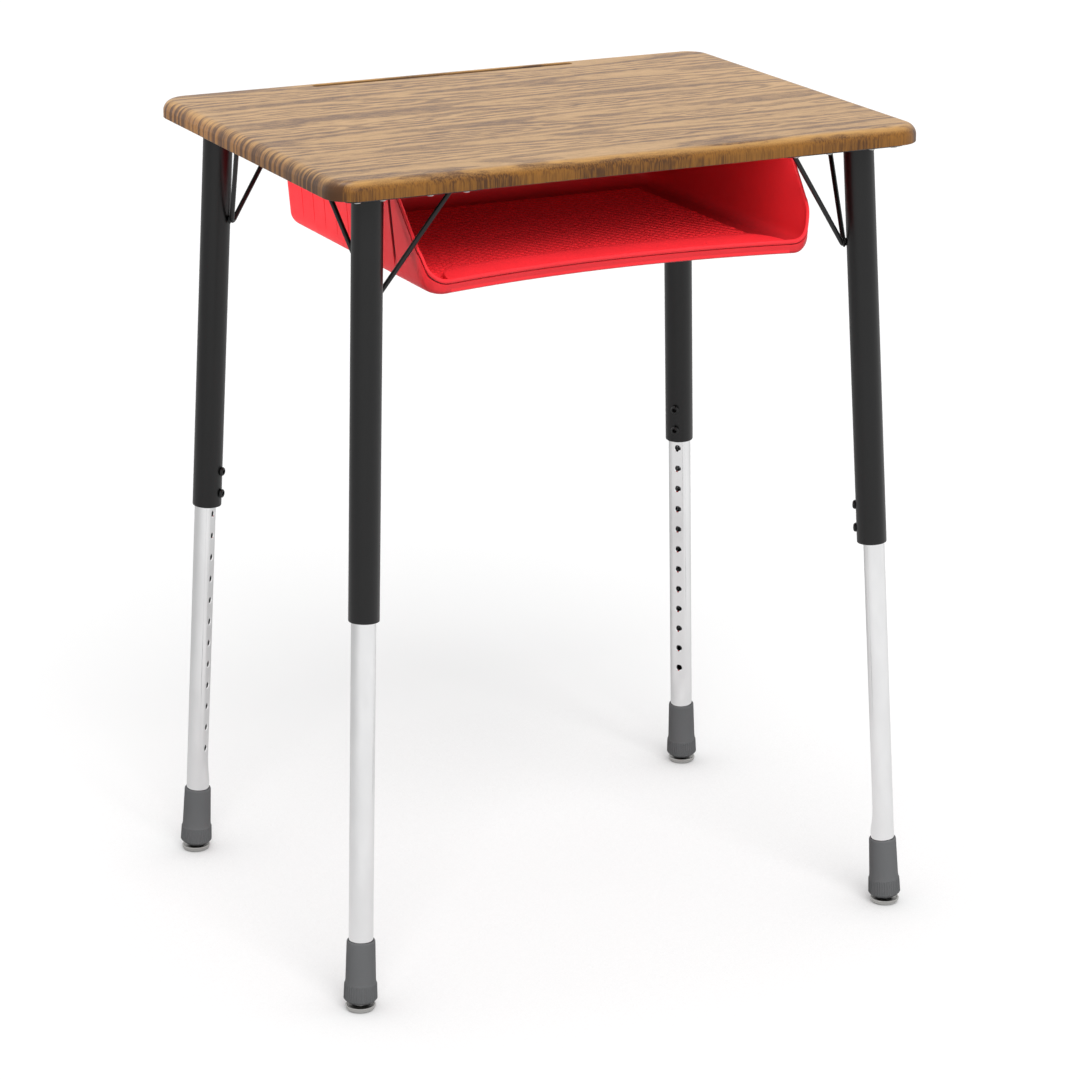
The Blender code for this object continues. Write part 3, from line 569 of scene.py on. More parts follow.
def rounded_outline(corners, steps):
    """A closed outline with each corner (x, y, radius) of an anticlockwise polygon rounded."""
    points = []
    for i, (x, y, radius) in enumerate(corners):
        corner = Vector((x, y))
        before = (Vector(corners[i - 1][:2]) - corner).normalized()
        after = (Vector(corners[(i + 1) % len(corners)][:2]) - corner).normalized()
        half = before.angle(after) / 2
        centre = corner + (before + after).normalized() * radius / math.sin(half)
        start = corner + before * radius / math.tan(half) - centre
        turn = math.copysign(math.pi - 2 * half, -before.cross(after))
        for step in range(steps + 1):
            angle = turn * step / steps
            c, s = math.cos(angle), math.sin(angle)
            points.append((centre.x + c * start.x - s * start.y, centre.y + s * start.x + c * start.y))
    return points


def add_object(name, data=None):
    """A new object in the scene, with an empty mesh unless it gets other data."""
    if data is None:
        data = bpy.data.meshes.new(name)
    obj = bpy.data.objects.new(name, data)
    bpy.context.scene.collection.objects.link(obj)
    return obj


def loose(name, bm, matrix=None):
    """A new object from a bmesh, with its faces outwards and its place in its mesh."""
    bmesh.ops.recalc_face_normals(bm, faces=bm.faces)
    mesh = bpy.data.meshes.new(name)
    bm.to_mesh(mesh)
    bm.free()
    if matrix:
        mesh.transform(matrix)
    return add_object(name, mesh)


def settle(obj):
    """Turns what an object's modifiers make into its plain mesh, and removes them."""
    bpy.context.view_layer.update()
    graph = bpy.context.evaluated_depsgraph_get()
    mesh = bpy.data.meshes.new_from_object(obj.evaluated_get(graph))
    obj.modifiers.clear()
    obj.data = mesh
    mesh.name = obj.name
    return obj


def cut(obj, cutter):
    """Takes one shape out of another."""
    modifier = obj.modifiers.new("cut", "BOOLEAN")
    modifier.operation = "DIFFERENCE"
    modifier.solver = "EXACT"
    modifier.object = cutter
    settle(obj)
    bpy.data.objects.remove(cutter, do_unlink=True)
    return obj


def finished(obj, material, body, nodes=(), sharp=32):
    """Gives a piece its finish and smooth shading, and sets it on its body in place of the plain nodes."""
    mesh = obj.data
    mesh.materials.clear()
    mesh.materials.append(material)
    for face in mesh.polygons:
        face.material_index = 0
    mesh.shade_smooth()
    mesh.set_sharp_from_angle(angle=math.radians(sharp))
    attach(obj, body)
    if nodes:
        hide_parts(*nodes)
    return obj


def leg_matrix(corner):
    """Z up along the leg, X towards the middle of the desk, from where the leg's line meets the floor."""
    axis = LEG_AXIS[corner]
    inwards = Vector((axis.x, axis.y, 0.0)).normalized()
    x = (inwards - axis * inwards.dot(axis)).normalized()
    matrix = Matrix((x, axis.cross(x), axis)).transposed().to_4x4()
    matrix.translation = FOOT[corner]
    return matrix


def corner_matrix(corner, turn=0.0):
    """Level at the underside, on the leg's line, with X towards the middle of the desk."""
    side_x, side_y = CORNERS[corner]
    inwards = math.atan2(-side_y, -side_x)
    place = Matrix.Translation((side_x * LEG_X, side_y * LEG_Y, UNDERSIDE))
    return place @ Matrix.Rotation(inwards + turn, 4, "Z")


# Desktop


EDGE_CHAMFER = 0.0005
EDGE_STEPS = 12
EDGE_MARGIN = 0.003
CORNER_STEPS = 20
GROOVE_STEPS = 10
GROOVE_SIDES = 48


def desktop_board(s):
    """The board with its rolled upper edge, its chamfered lower edge and the pencil groove."""
    bottom = s.height - s.thickness
    levels = [(EDGE_CHAMFER + EDGE_MARGIN, bottom), (EDGE_CHAMFER, bottom), (0.0, bottom + EDGE_CHAMFER)]
    for r, z in arc((0.0, s.height - s.edge_radius), s.edge_radius, 0, 90, EDGE_STEPS):
        levels.append((s.edge_radius - r, z))
    levels.append((s.edge_radius + EDGE_MARGIN, s.height))
    rings = []
    for inset, z in levels:
        half_x, half_y = s.width / 2 - inset, s.depth / 2 - inset
        corners = [(half_x * x, half_y * y, s.corner_radius - inset) for x, y in CORNERS.values()]
        rings.append([(x, y, z) for x, y in rounded_outline(corners, CORNER_STEPS)])
    board = loose("top_board", skin(rings))
    half_width = s.groove_width / 2
    radius = (half_width**2 + s.groove_depth**2) / (2 * s.groove_depth)
    half_length = s.groove_length / 2
    profile = [(r, z - half_length + radius) for r, z in arc((0, 0), radius, -90, 0, GROOVE_STEPS)]
    profile += [(r, z + half_length - radius) for r, z in arc((0, 0), radius, 0, 90, GROOVE_STEPS)]
    profile[0] = (0.0, profile[0][1])
    profile[-1] = (0.0, profile[-1][1])
    place = Matrix.Translation((0, s.depth / 2 - s.groove_from_back, s.height - s.groove_depth + radius))
    place = place @ Matrix.Rotation(math.pi / 2, 4, "Y")
    bar = loose("groove_bar", lathe(profile, GROOVE_SIDES), place)
    return cut(board, bar)


# Book box


def tray_point(s, spot, inset, z):
    """A plan point in the tray's wall: a place along the outline, an inset from the outer face, a height."""
    kind, side, share = spot
    floor = UNDERSIDE - s.height
    bend = floor + s.bottom_radius
    radius = s.bottom_radius - inset
    below = min(max(bend - z, 0.0), radius)
    rounding = radius - math.sqrt(max(radius**2 - below**2, 0.0))
    widen = s.draft * clamp((z - bend) / (BOX_TOP - s.flange_thickness - bend))
    total = inset + rounding
    half = BOX_HALF_WIDTH - s.draft + widen - total
    back = BOX_BACK - s.draft + widen - total
    middle = BOX_FRONT_MIDDLE + inset + rounding * BOX_FRONT_ROUNDING
    front_radius = s.bottom_radius + BOX_FRONT_CORNER_EXTRA - total
    back_radius = s.bottom_radius + BOX_BACK_CORNER_EXTRA - total
    curve = s.bow / BOX_HALF_WIDTH**2
    if kind == "side":
        return side * half, share
    if kind == "back_corner":
        x, y = arc((half - back_radius, back - back_radius), back_radius, 90 * share, 90, 1)[0]
        return side * x, y
    if kind == "back":
        return side * share * (half - back_radius), back
    reach = half - front_radius
    slope = 0.0
    for _ in range(8):
        slope = math.atan(2 * curve * reach)
        reach = half - front_radius * (1 + math.sin(slope))
    if kind == "bow":
        x = share * reach
        return x, middle - curve * x**2
    centre_y = middle - curve * reach**2 + front_radius * math.cos(slope)
    start = 270 - math.degrees(slope)
    x, y = arc((half - front_radius, centre_y), front_radius, start + (360 - start) * share, 360, 1)[0]
    return side * x, y


# Fine grooves and a leaning slot in the side walls: where along Y, half widths, depths and heights
GROOVES_AT = [0.1015 - 0.0305 * i for i in range(7)]
GROOVE_HALF = 0.0006
GROOVE_DEPTH = 0.0007
GROOVE_LOW = 0.757
GROOVE_HIGH = 0.838
SLOT_AT = -0.1345
SLOT_HALF = 0.0029
SLOT_DEPTH = 0.0019
SLOT_LEAN = 0.08
SUNK_EDGE = 0.0004
# How strongly painted shade darkens the foot of the tray's inner walls
FOOT_SHADE = 0.55

# How many steps the outline has in the bow, at the front and back corners and along the back
BOW_STEPS = 72
FRONT_CORNER_STEPS = 18
BACK_CORNER_STEPS = 10
BACK_STEPS = 20


def groove_depth_at(spot):
    """How far a fine groove or the slot in the side walls is sunk at a place along the outline."""
    kind, _, y = spot
    if kind == "side" and abs(y - SLOT_AT) < SLOT_HALF + TINY:
        return SLOT_DEPTH
    if kind == "side" and any(abs(y - middle) < GROOVE_HALF + TINY for middle in GROOVES_AT):
        return GROOVE_DEPTH
    return 0.0


def tray_spots():
    """Places along the tray's outline, anticlockwise from the left end of the bowed front."""
    ways = [-0.186 + 0.003 * i for i in range(14)] + [-0.12 + 0.01 * i for i in range(26)]
    for middle, half in [(SLOT_AT, SLOT_HALF)] + [(middle, GROOVE_HALF) for middle in GROOVES_AT]:
        ways = [y for y in ways if abs(y - middle) > half + 4 * SUNK_EDGE]
        ways += [middle - half - SUNK_EDGE, middle - half, middle + half, middle + half + SUNK_EDGE]
    right = [("front_corner", 1, (i + 1) / FRONT_CORNER_STEPS) for i in range(FRONT_CORNER_STEPS)]
    right += [("side", 1, y) for y in sorted(ways)]
    right += [("back_corner", 1, i / BACK_CORNER_STEPS) for i in range(BACK_CORNER_STEPS + 1)]
    left = [(kind, -1, share) for kind, _, share in reversed(right)]
    bow = [("bow", 1, 2 * i / BOW_STEPS - 1) for i in range(BOW_STEPS + 1)]
    back = [("back", 1, 1 - 2 * i / BACK_STEPS) for i in range(1, BACK_STEPS)]
    return bow + right + back + left


def rim_height(s, spot):
    """Where the wall ends: at the lip, a round corner of the opening, the swept side or the flange."""
    lip = UNDERSIDE - s.height + s.lip
    front = BOX_FRONT_MIDDLE - s.bow
    half = BOX_HALF_WIDTH - s.draft - s.wall - SEAT_GAP
    z = lip
    for _ in range(8):
        x, y = tray_point(s, spot, s.wall / 2, z)
        ahead = max(y - front, 0.0) / s.sweep
        z = lip + (UNDERSIDE - lip) * ahead ** (1 / BOX_SWEEP_POWER)
        over = abs(x) - half + BOX_OPENING_RADIUS
        if y < BOX_FRONT_MIDDLE + s.bottom_radius and over < BOX_OPENING_RADIUS:
            z = min(z, lip + BOX_OPENING_RADIUS - math.sqrt(BOX_OPENING_RADIUS**2 - max(over, 0.0) ** 2))
        z = min(z, BOX_TOP)
    return z


# The rolled rim as (inset, height) in millimetres, from the inner face over the top to the groove outside
RIM = (
    (3.0, -12.0), (3.0, -8.0), (3.0, -5.4), (3.2, -3.8), (3.3, -2.4), (3.2, -1.1), (2.8, -0.35), (2.2, 0.0),
    (0.9, 0.0), (0.2, -0.25), (-0.25, -0.9), (-0.35, -2.2), (-0.25, -3.7), (0.2, -4.3), (1.9, -4.5),
    (1.9, -5.1), (0.1, -5.5), (0.0, -12.0),
)
# The same on the swept sides, where the bead is narrower and the groove wider
RIM_SIDE = (
    (3.0, -12.0), (3.0, -8.0), (3.0, -5.4), (3.1, -3.8), (3.2, -2.4), (3.1, -1.1), (2.7, -0.35), (2.2, 0.0),
    (0.9, 0.0), (0.3, -0.2), (-0.1, -0.6), (-0.2, -1.0), (-0.1, -1.5), (0.3, -1.8), (1.9, -2.0),
    (1.9, -4.2), (0.1, -4.6), (0.0, -12.0),
)
# The flange as (inset, height) below the underside of the top, with as many points
FLANGE = (
    (3.0, -12.0), (3.0, -8.0), (3.0, -4.0), (3.0, -2.6), (3.0, -1.5), (3.0, -0.7), (2.7, -0.1), (2.3, 0.0),
    (-4.0, 0.0), (-10.0, 0.0), (-15.6, 0.0), (-16.0, -0.4), (-16.0, -2.6), (-15.6, -3.0), (-8.0, -3.0),
    (-1.2, -3.0), (0.0, -4.0), (0.0, -12.0),
)
RIM_STRETCH = 1.9


def rim_section(rim, lowest, steep):
    """The wall's upper end at one place: the flange, or the rim, stretched where its edge is steep."""
    if rim > BOX_TOP - TINY:
        return [(inset / 1000, BOX_TOP + height / 1000) for inset, height in FLANGE]
    upward = clamp(3 * (rim - lowest) / (BOX_TOP - lowest))
    section = []
    for front, swept in zip(RIM, RIM_SIDE):
        inset, height = Vector(front).lerp(Vector(swept), upward) / 1000
        section.append((inset, rim + steep * height))
    return section


def wall_heights(z, bend, radius):
    """Heights from a wall's upper part down through the bottom's curve to the floor."""
    if z > bend:
        heights = [z + (bend - z) * i / 8 for i in range(1, 9)]
        return heights + [bend - radius * math.sin(math.radians(10 * i)) for i in range(1, 10)]
    start = math.asin(min((bend - z) / radius, 1.0))
    return [bend - radius * math.sin(start + (math.pi / 2 - start) * i / 17) for i in range(1, 18)]


def tray(s):
    """The whole tray as one closed shell, a column of points for each place along its outline."""
    bend = UNDERSIDE - s.height + s.bottom_radius
    spots = tray_spots()
    rims = [rim_height(s, spot) for spot in spots]
    for _ in range(2):
        ring = [rims[-1], *rims, rims[0]]
        rims = [
            here if here > BOX_TOP - TINY else (before + 2 * here + after) / 4
            for before, here, after in zip(ring, rims, ring[2:])
        ]
    columns = []
    painted_shades = []
    for i, spot in enumerate(spots):
        j = (i + 1) % len(spots)
        rim = rims[i]
        run = math.dist(*(tray_point(s, spots[k], s.wall / 2, rim) for k in (i - 1, j)))
        steep = min(math.hypot(1.0, (rims[j] - rims[i - 1]) / max(run, TINY)), RIM_STRETCH)
        section = rim_section(rim, rims[0], steep)
        inner = [(s.wall, z) for z in wall_heights(section[0][1], bend, s.bottom_radius - s.wall)]
        inner.reverse()
        sunk = groove_depth_at(spot)
        outer = []
        for z in wall_heights(section[-1][1], bend, s.bottom_radius):
            outer.append((sunk if GROOVE_LOW < z < GROOVE_HIGH else 0.0, z))
        column = [tray_point(s, spot, inset, z) + (z,) for inset, z in inner + section]
        by_slot = spot[0] == "side" and abs(spot[2] - SLOT_AT) < SLOT_HALF + 1.5 * SUNK_EDGE
        for inset, z in outer:
            x, y = tray_point(s, spot, inset, z)
            lean = SLOT_LEAN * (z - (GROOVE_LOW + GROOVE_HIGH) / 2) if by_slot else 0.0
            column.append((x, y + lean, z))
        columns.append(column)
        # Painted shade: darker down the foot of the inner walls, along the groove outside the rim and in
        # each side wall's slot
        dark = [FOOT_SHADE * clamp((bend - z) / (s.bottom_radius - s.wall)) ** 2 for _, z in inner]
        dark += [0.0] * len(section)
        if rim < BOX_TOP - TINY:
            dark[-4] = dark[-3] = 1.0
        painted_shades.append(dark + [float(inset > GROOVE_DEPTH) for inset, _ in outer])
    levels = range(len(columns[0]))
    tray_shell = loose("moulded_tray", skin([[column[level] for column in columns] for level in levels]))
    crevice = tray_shell.data.attributes.new("crevice", "FLOAT", "POINT")
    crevice.data.foreach_set("value", [column[level] for level in levels for column in painted_shades])
    return tray_shell


# The shelf behind the lip: its plan, its fall towards the back, and its two gate marks
BAND_HALF_LENGTH = 0.192
BAND_END = 0.028
BAND_BELOW_LIP = 0.0016
BAND_FALL = 0.0006
BAND_SLOPE = 0.008
BAND_TIP = 0.004
BAND_MARKS = ((-0.134, -0.190), (0.108, -0.180))
BAND_MARK_RADIUS = 0.0013
BAND_MARK_DEPTH = 0.0024
CUT_PAST = 0.002


def front_band(s):
    """The shelf behind the lip, round at both ends, with a soft back edge and two small gate marks."""
    low = UNDERSIDE - s.height + s.wall * 0.6
    high = UNDERSIDE - s.height + s.lip - BAND_BELOW_LIP
    curve = s.bow / BOX_HALF_WIDTH**2
    straight = BAND_HALF_LENGTH - BAND_END
    ends = [math.radians(88 * i / 16) for i in range(1, 17)]
    stations = [(-straight - BAND_END * math.sin(a), math.cos(a)) for a in reversed(ends)]
    stations += [(straight * (i / 30 - 1), 1.0) for i in range(61)]
    stations += [(straight + BAND_END * math.sin(a), math.cos(a)) for a in ends]
    rings = []
    for x, swell in stations:
        front = BOX_FRONT_MIDDLE + s.wall * 0.7 - curve * x**2
        deep = BAND_TIP + (s.band_depth - BAND_TIP) * swell
        slope = min(BAND_SLOPE, deep * 0.6)
        flat = deep - slope
        section = [(0.0, low), (0.0, high)]
        section += [(flat * share, high - BAND_FALL * share) for share in (0.08, 0.3, 0.55, 0.8)]
        for j in range(9):
            turn = math.pi * j / 8
            fall = (high - BAND_FALL - low) * (1 - math.cos(turn)) / 2
            section.append((flat + slope * j / 8, high - BAND_FALL - fall))
        rings.append([(x, front + y, z) for y, z in section])
    band = loose("tray_front_band", skin(rings))
    marks = bmesh.new()
    for x, y in BAND_MARKS:
        outline = [(x + px, y + py) for px, py, _ in circle(BAND_MARK_RADIUS, 0, 12)]
        ends = (high - BAND_MARK_DEPTH, high + CUT_PAST)
        skin([[(*point, z) for point in outline] for z in ends], bm=marks)
    return cut(band, loose("band_marks", marks))


# The raised field in the tray and the field of bumps on it
PANEL_HEIGHT = 0.003
PANEL_HALF_WIDTH = 0.187
PANEL_BACK = 0.121
PANEL_FRONT_RADIUS = 0.006
PANEL_BACK_RADIUS = 0.016
BUMPS_HALF_WIDTH = 0.184
BUMPS_BACK = 0.118
BUMPS_BEHIND_BAND = 0.004
BUMP_COLUMNS = 44
BUMP_ROWS = 56


def floor_panel(s):
    """The raised field that carries the bumps, with a softened edge towards the channel round it."""
    low = UNDERSIDE - s.height + s.wall * 0.7
    high = UNDERSIDE - s.height + s.wall + PANEL_HEIGHT
    front = BOX_FRONT_MIDDLE + s.band_depth * 0.4
    rings = []
    for inset, z in ((0.0, low), (0.0, high - 0.0012), (0.0004, high - 0.0004), (0.0012, high)):
        half, back, near = PANEL_HALF_WIDTH - inset, PANEL_BACK - inset, front + inset
        sag = s.bow * (half / BOX_HALF_WIDTH) ** 2
        corners = [(side * half, near - sag * 0.5, PANEL_FRONT_RADIUS) for side in (-1, 1)]
        corners += [(side * half, back, PANEL_BACK_RADIUS - inset) for side in (1, -1)]
        rings.append([(x, y, z) for x, y in rounded_outline(corners, 12)])
    return loose("tray_floor_panel", skin(rings))


# Repeats made by Geometry Nodes


def repeat_tree(name, inputs):
    """A geometry tree with named inputs. Gives it, a start for its nodes and its input sockets by name."""
    tree = bpy.data.node_groups.new(name, "GeometryNodeTree")
    tree.interface.new_socket("Geometry", in_out="INPUT", socket_type="NodeSocketGeometry")
    for label, kind in inputs.items():
        tree.interface.new_socket(label, in_out="INPUT", socket_type=f"NodeSocket{kind}")
    tree.interface.new_socket("Geometry", in_out="OUTPUT", socket_type="NodeSocketGeometry")
    start = Socket(tree)
    names = ("Geometry", *inputs)
    return tree, start, dict(zip(names, start.node("NodeGroupInput", output=names)))


def end_tree(tree, instances, material):
    """Ends a tree in plain geometry with its material."""
    real = instances.node("GeometryNodeRealizeInstances", None, {0: instances})
    painted = real.node("GeometryNodeSetMaterial", None, {"Geometry": real, "Material": material})
    tree.links.new(painted.output, tree.nodes.new("NodeGroupOutput").inputs[0])
    return tree


def repeated(obj, tree, values):
    """Runs a tree on an object and keeps the result as its plain mesh."""
    modifier = obj.modifiers.new(tree.name, "NODES")
    modifier.node_group = tree
    for item in tree.interface.items_tree:
        if item.in_out == "INPUT" and item.name in values:
            modifier[item.identifier] = values[item.name]
    return settle(obj)


def bump_tree():
    """Rows of low domes on a floor with a bowed front, each row shifted against the last."""
    names = ("Pitch", "Row pitch", "Row shift", "Width", "Depth", "Height", "Turn")
    inputs = dict.fromkeys((*names, "Half width", "Back", "Front", "Bow curve", "Level"), "Float")
    inputs |= {"Columns": "Int", "Rows": "Int", "Material": "Material"}
    tree, start, given = repeat_tree("Rows of floor bumps", inputs)
    wide = given["Pitch"] * (given["Columns"] - 1.0)
    long = given["Row pitch"] * (given["Rows"] - 1.0)
    sizes = {"Size X": wide, "Size Y": long, "Vertices X": given["Columns"], "Vertices Y": given["Rows"]}
    grid = start.node("GeometryNodeMeshGrid", None, sizes)
    x, y, z = split(start.node("GeometryNodeInputPosition"))
    row = (y + long * 0.5) / given["Row pitch"]
    shifted = x - start.sum("FLOORED_MODULO", row * given["Row shift"], given["Pitch"])
    place = join(start, shifted, y + (given["Front"] + given["Back"]) * 0.5, given["Level"])
    spots = start.node("GeometryNodeSetPosition", None, {"Geometry": grid, "Position": place})
    outside = start.sum("GREATER_THAN", abs(x), given["Half width"])
    behind = start.sum("GREATER_THAN", y, given["Back"])
    ahead = start.sum("LESS_THAN", y, given["Front"] - given["Bow curve"] * x * x)
    unwanted = {"Geometry": spots, "Selection": outside + behind + ahead}
    kept = start.node("GeometryNodeDeleteGeometry", None, unwanted)
    dome = start.node("GeometryNodeMeshUVSphere", None, {"Segments": 10, "Rings": 6, "Radius": 1.0})
    lower = {"Geometry": dome, "Selection": start.sum("LESS_THAN", z, -0.2)}
    upper = start.node("GeometryNodeDeleteGeometry", None, lower)
    settings = {
        "Points": kept, "Instance": upper, "Rotation": turned_by(join(start, z=given["Turn"])),
        "Scale": join(start, given["Width"] * 0.5, given["Depth"] * 0.5, given["Height"]),
    }
    return end_tree(tree, start.node("GeometryNodeInstanceOnPoints", None, settings), given["Material"])


def rib_tree():
    """Upright ribs round a tapered band."""
    inputs = dict.fromkeys(("Radius", "Low", "Height", "Width", "Lean"), "Float")
    inputs |= {"Count": "Int", "Material": "Material"}
    tree, start, given = repeat_tree("Ribs round a boot", inputs)
    ring_sizes = {"Vertices": given["Count"], "Radius": given["Radius"]}
    ring = start.node("GeometryNodeMeshCircle", None, ring_sizes)
    x, y, _ = split(start.node("GeometryNodeInputPosition"))
    rotation = turned_by(join(start, 0.0, given["Lean"], start.sum("ARCTAN2", y, x)))
    bar_sizes = {"Vertices": 8, "Radius": given["Width"] * 0.5, "Depth": given["Height"]}
    bar = start.node("GeometryNodeMeshCylinder", None, bar_sizes)
    lift = join(start, z=given["Low"] + given["Height"] * 0.5)
    raised = start.node("GeometryNodeSetPosition", None, {"Geometry": ring, "Offset": lift})
    settings = {"Points": raised, "Instance": bar, "Rotation": rotation}
    return end_tree(tree, start.node("GeometryNodeInstanceOnPoints", None, settings), given["Material"])


def fastener_tree():
    """One fastener at every point, along the point's own direction, each turned by chance."""
    inputs = {"Fastener": "Object", "Spin": "Float", "Seed": "Int", "Material": "Material"}
    tree, start, given = repeat_tree("Fasteners in their seats", inputs)
    shape = start.node("GeometryNodeObjectInfo", None, {"Object": given["Fastener"]}, "Geometry")
    vectors = {"data_type": "FLOAT_VECTOR"}
    facing = start.node("GeometryNodeInputNamedAttribute", vectors, {"Name": "facing"})
    settings = {"Points": given["Geometry"], "Instance": shape, "Rotation": turned_by(facing)}
    placed = start.node("GeometryNodeInstanceOnPoints", None, settings)
    chance = start.node("FunctionNodeRandomValue", {"data_type": "FLOAT"}, {"Seed": given["Seed"]}, 1)
    spun = turned_by(join(start, z=chance * given["Spin"]))
    inputs = {"Instances": placed, "Rotation": spun, "Local Space": True}
    return end_tree(tree, start.node("GeometryNodeRotateInstances", None, inputs), given["Material"])


def seats(name, places):
    """A mesh of points, each with the direction in which its fastener faces."""
    mesh = bpy.data.meshes.new(name)
    mesh.from_pydata([place.translation for place in places], [], [])
    facing = mesh.attributes.new("facing", "FLOAT_VECTOR", "POINT")
    for i, place in enumerate(places):
        facing.data[i].vector = place.to_euler()
    return add_object(name, mesh)


# Frame: upper legs, braces and plates


# Rolled lower end of an upper leg, as (from the outer face, height) and (from the bore, height)
TUBE_END_OUTSIDE = ((-0.0007, 0.0), (-0.0002, 0.0002), (0.0, 0.0008))
TUBE_END_INSIDE = ((0.0, 0.0006), (0.0005, 0.0))
TUBE_SIDES = 64
WIRE_SIDES = 20
BEND_STEPS = 16

# Half sizes of a weld bead beside the bend, and the collar at the plate as (share of wire radius, height)
BEAD = (0.0016, 0.0026, 0.0044)
BEAD_RISE = 0.0012
COLLAR = ((0.0, 0.0), (1.9, 0.0), (1.5, -0.0009), (1.0, -0.0022), (0.0, -0.0024))


def leg_tube(s, corner):
    """The upper leg: a tube with a rolled lower end, cut level under the plate."""
    radius = s.diameter / 2
    bore = radius - s.wall
    end = LEG_TOP - s.length
    lean = math.tan(SPLAY)
    rings = [circle(radius + r, end + z, TUBE_SIDES, s.shift) for r, z in TUBE_END_OUTSIDE]
    rings += [circle(r, LEG_TOP, TUBE_SIDES, s.shift, lean) for r in (radius, bore)]
    rings += [circle(bore + r, end + z, TUBE_SIDES, s.shift) for r, z in TUBE_END_INSIDE]
    return loose(f"leg_tube_{corner}", skin(rings, wrap=True), leg_matrix(corner))


def brace_path(s):
    """Centre line of the bent wire. X points from the leg to the desk's middle, Z is 0 at the underside."""
    radius = s.brace_diameter / 2
    top = PLATE_BOTTOM - SEAT_GAP - UNDERSIDE
    stand_off = s.diameter / 2 + SEAT_GAP + radius
    leg_side = s.shift + stand_off / math.cos(SPLAY) - s.brace_drop * math.tan(SPLAY)
    low = Vector((leg_side, 0, -s.brace_drop))
    ends = [Vector((s.brace_reach, side * s.brace_spread, top)) for side in (-1, 1)]
    arms = [(end - low).normalized() for end in ends]
    half = arms[0].angle(arms[1]) / 2
    up = (arms[0] + arms[1]).normalized()
    across = (arms[1] - arms[0]).normalized()
    centre = low + up * s.brace_bend / math.sin(half)
    sweep = math.pi / 2 - half
    path = [ends[0]]
    for step in range(BEND_STEPS + 1):
        angle = -sweep + 2 * sweep * step / BEND_STEPS
        path.append(centre + s.brace_bend * (math.sin(angle) * across - math.cos(angle) * up))
    return path + [ends[1]]


def wire_brace(s, corner):
    """The bent wire, with its weld beads at the leg and at the plate."""
    path = brace_path(s)
    radius = s.brace_diameter / 2
    rings = []
    for i, point in enumerate(path):
        before = (path[max(i, 1)] - path[max(i, 1) - 1]).normalized()
        after = (path[min(i, len(path) - 2) + 1] - path[min(i, len(path) - 2)]).normalized()
        along = (before + after).normalized()
        plane = Vector((0, 0, 1)) if i in (0, len(path) - 1) else along
        side = Vector((1, 0, 0))
        side = (side - along * side.dot(along)).normalized()
        other = along.cross(side)
        ring = []
        for c, k, _ in circle(radius, 0.0, WIRE_SIDES):
            offset = c * side + k * other
            ring.append(point + offset - along * offset.dot(plane) / along.dot(plane))
        rings.append(ring)
    bm = skin(rings)
    bend = path[len(path) // 2]
    for side, end in ((-1, path[0]), (1, path[-1])):
        weld = Matrix.Translation(bend + Vector((-radius * 0.75, side * radius * 1.25, BEAD_RISE)))
        weld = weld @ Matrix.Diagonal((*BEAD, 1.0))
        bmesh.ops.create_icosphere(bm, subdivisions=3, radius=1.0, matrix=weld)
        lathe([(radius * share, z) for share, z in COLLAR], WIRE_SIDES, bm, end)
    return loose(f"wire_brace_{corner}", bm, corner_matrix(corner))


def corner_plate(corner):
    """The plate under the top: two arms along the desk's edges and a gusset between them."""
    low, near, far = -PLATE_OUTER_MARGIN, PLATE_INNER_MARGIN, PLATE_END
    gusset = near + PLATE_GUSSET
    corners = [(low, low), (far, low), (far, near), (gusset, near), (near, gusset), (near, far), (low, far)]
    outline = rounded_outline([(x, y, PLATE_CORNER_RADIUS) for x, y in corners], 10)
    middle = (far + low) / 2
    levels = [(PLATE_CHAMFER, 0.0), (0.0, PLATE_CHAMFER)]
    levels += [(inset, PLATE_THICKNESS - z) for inset, z in reversed(levels)]
    rings = []
    for inset, z in levels:
        share = 1 - inset / (far - low) * 2
        rings.append([(middle + (x - middle) * share, middle + (y - middle) * share, z) for x, y in outline])
    drop = Matrix.Translation((0, 0, PLATE_BOTTOM - UNDERSIDE))
    return loose(f"corner_plate_{corner}", skin(rings), corner_matrix(corner, -math.radians(45)) @ drop)


# Lower legs


def flatted_section(s, radius, flat, z):
    """A round section with a flat on the inward side, whose shoulders are quarter ellipses."""
    half = s.flat_width / 2
    points = arc((0, 0), radius, 90, 270, 36)
    shoulder = [math.radians(90 * i / 8) for i in range(1, 9)]
    points += [(flat * math.sin(a), -half - (radius - half) * math.cos(a)) for a in shoulder]
    points += [(flat, -half + s.flat_width * i / 6) for i in range(1, 6)]
    points += [(flat * math.sin(a), half + (radius - half) * math.cos(a)) for a in reversed(shoulder)]
    return [(x, y, z) for x, y in points]


def round_section(s, radius, z):
    """The same points as the flatted section, pushed out to a circle."""
    ring = [Vector(point) for point in flatted_section(s, s.radius, s.radius - s.flat_depth, 0.0)]
    return [(*(radius * point.normalized()).xy, z) for point in ring]


RUNOUT_SHARES = (0.0, 0.04, 0.2, 0.4, 0.6, 0.8, 0.96, 1.0)
HOLE_COUNTERSINK = 0.0010
HOLE_SIDES = 24


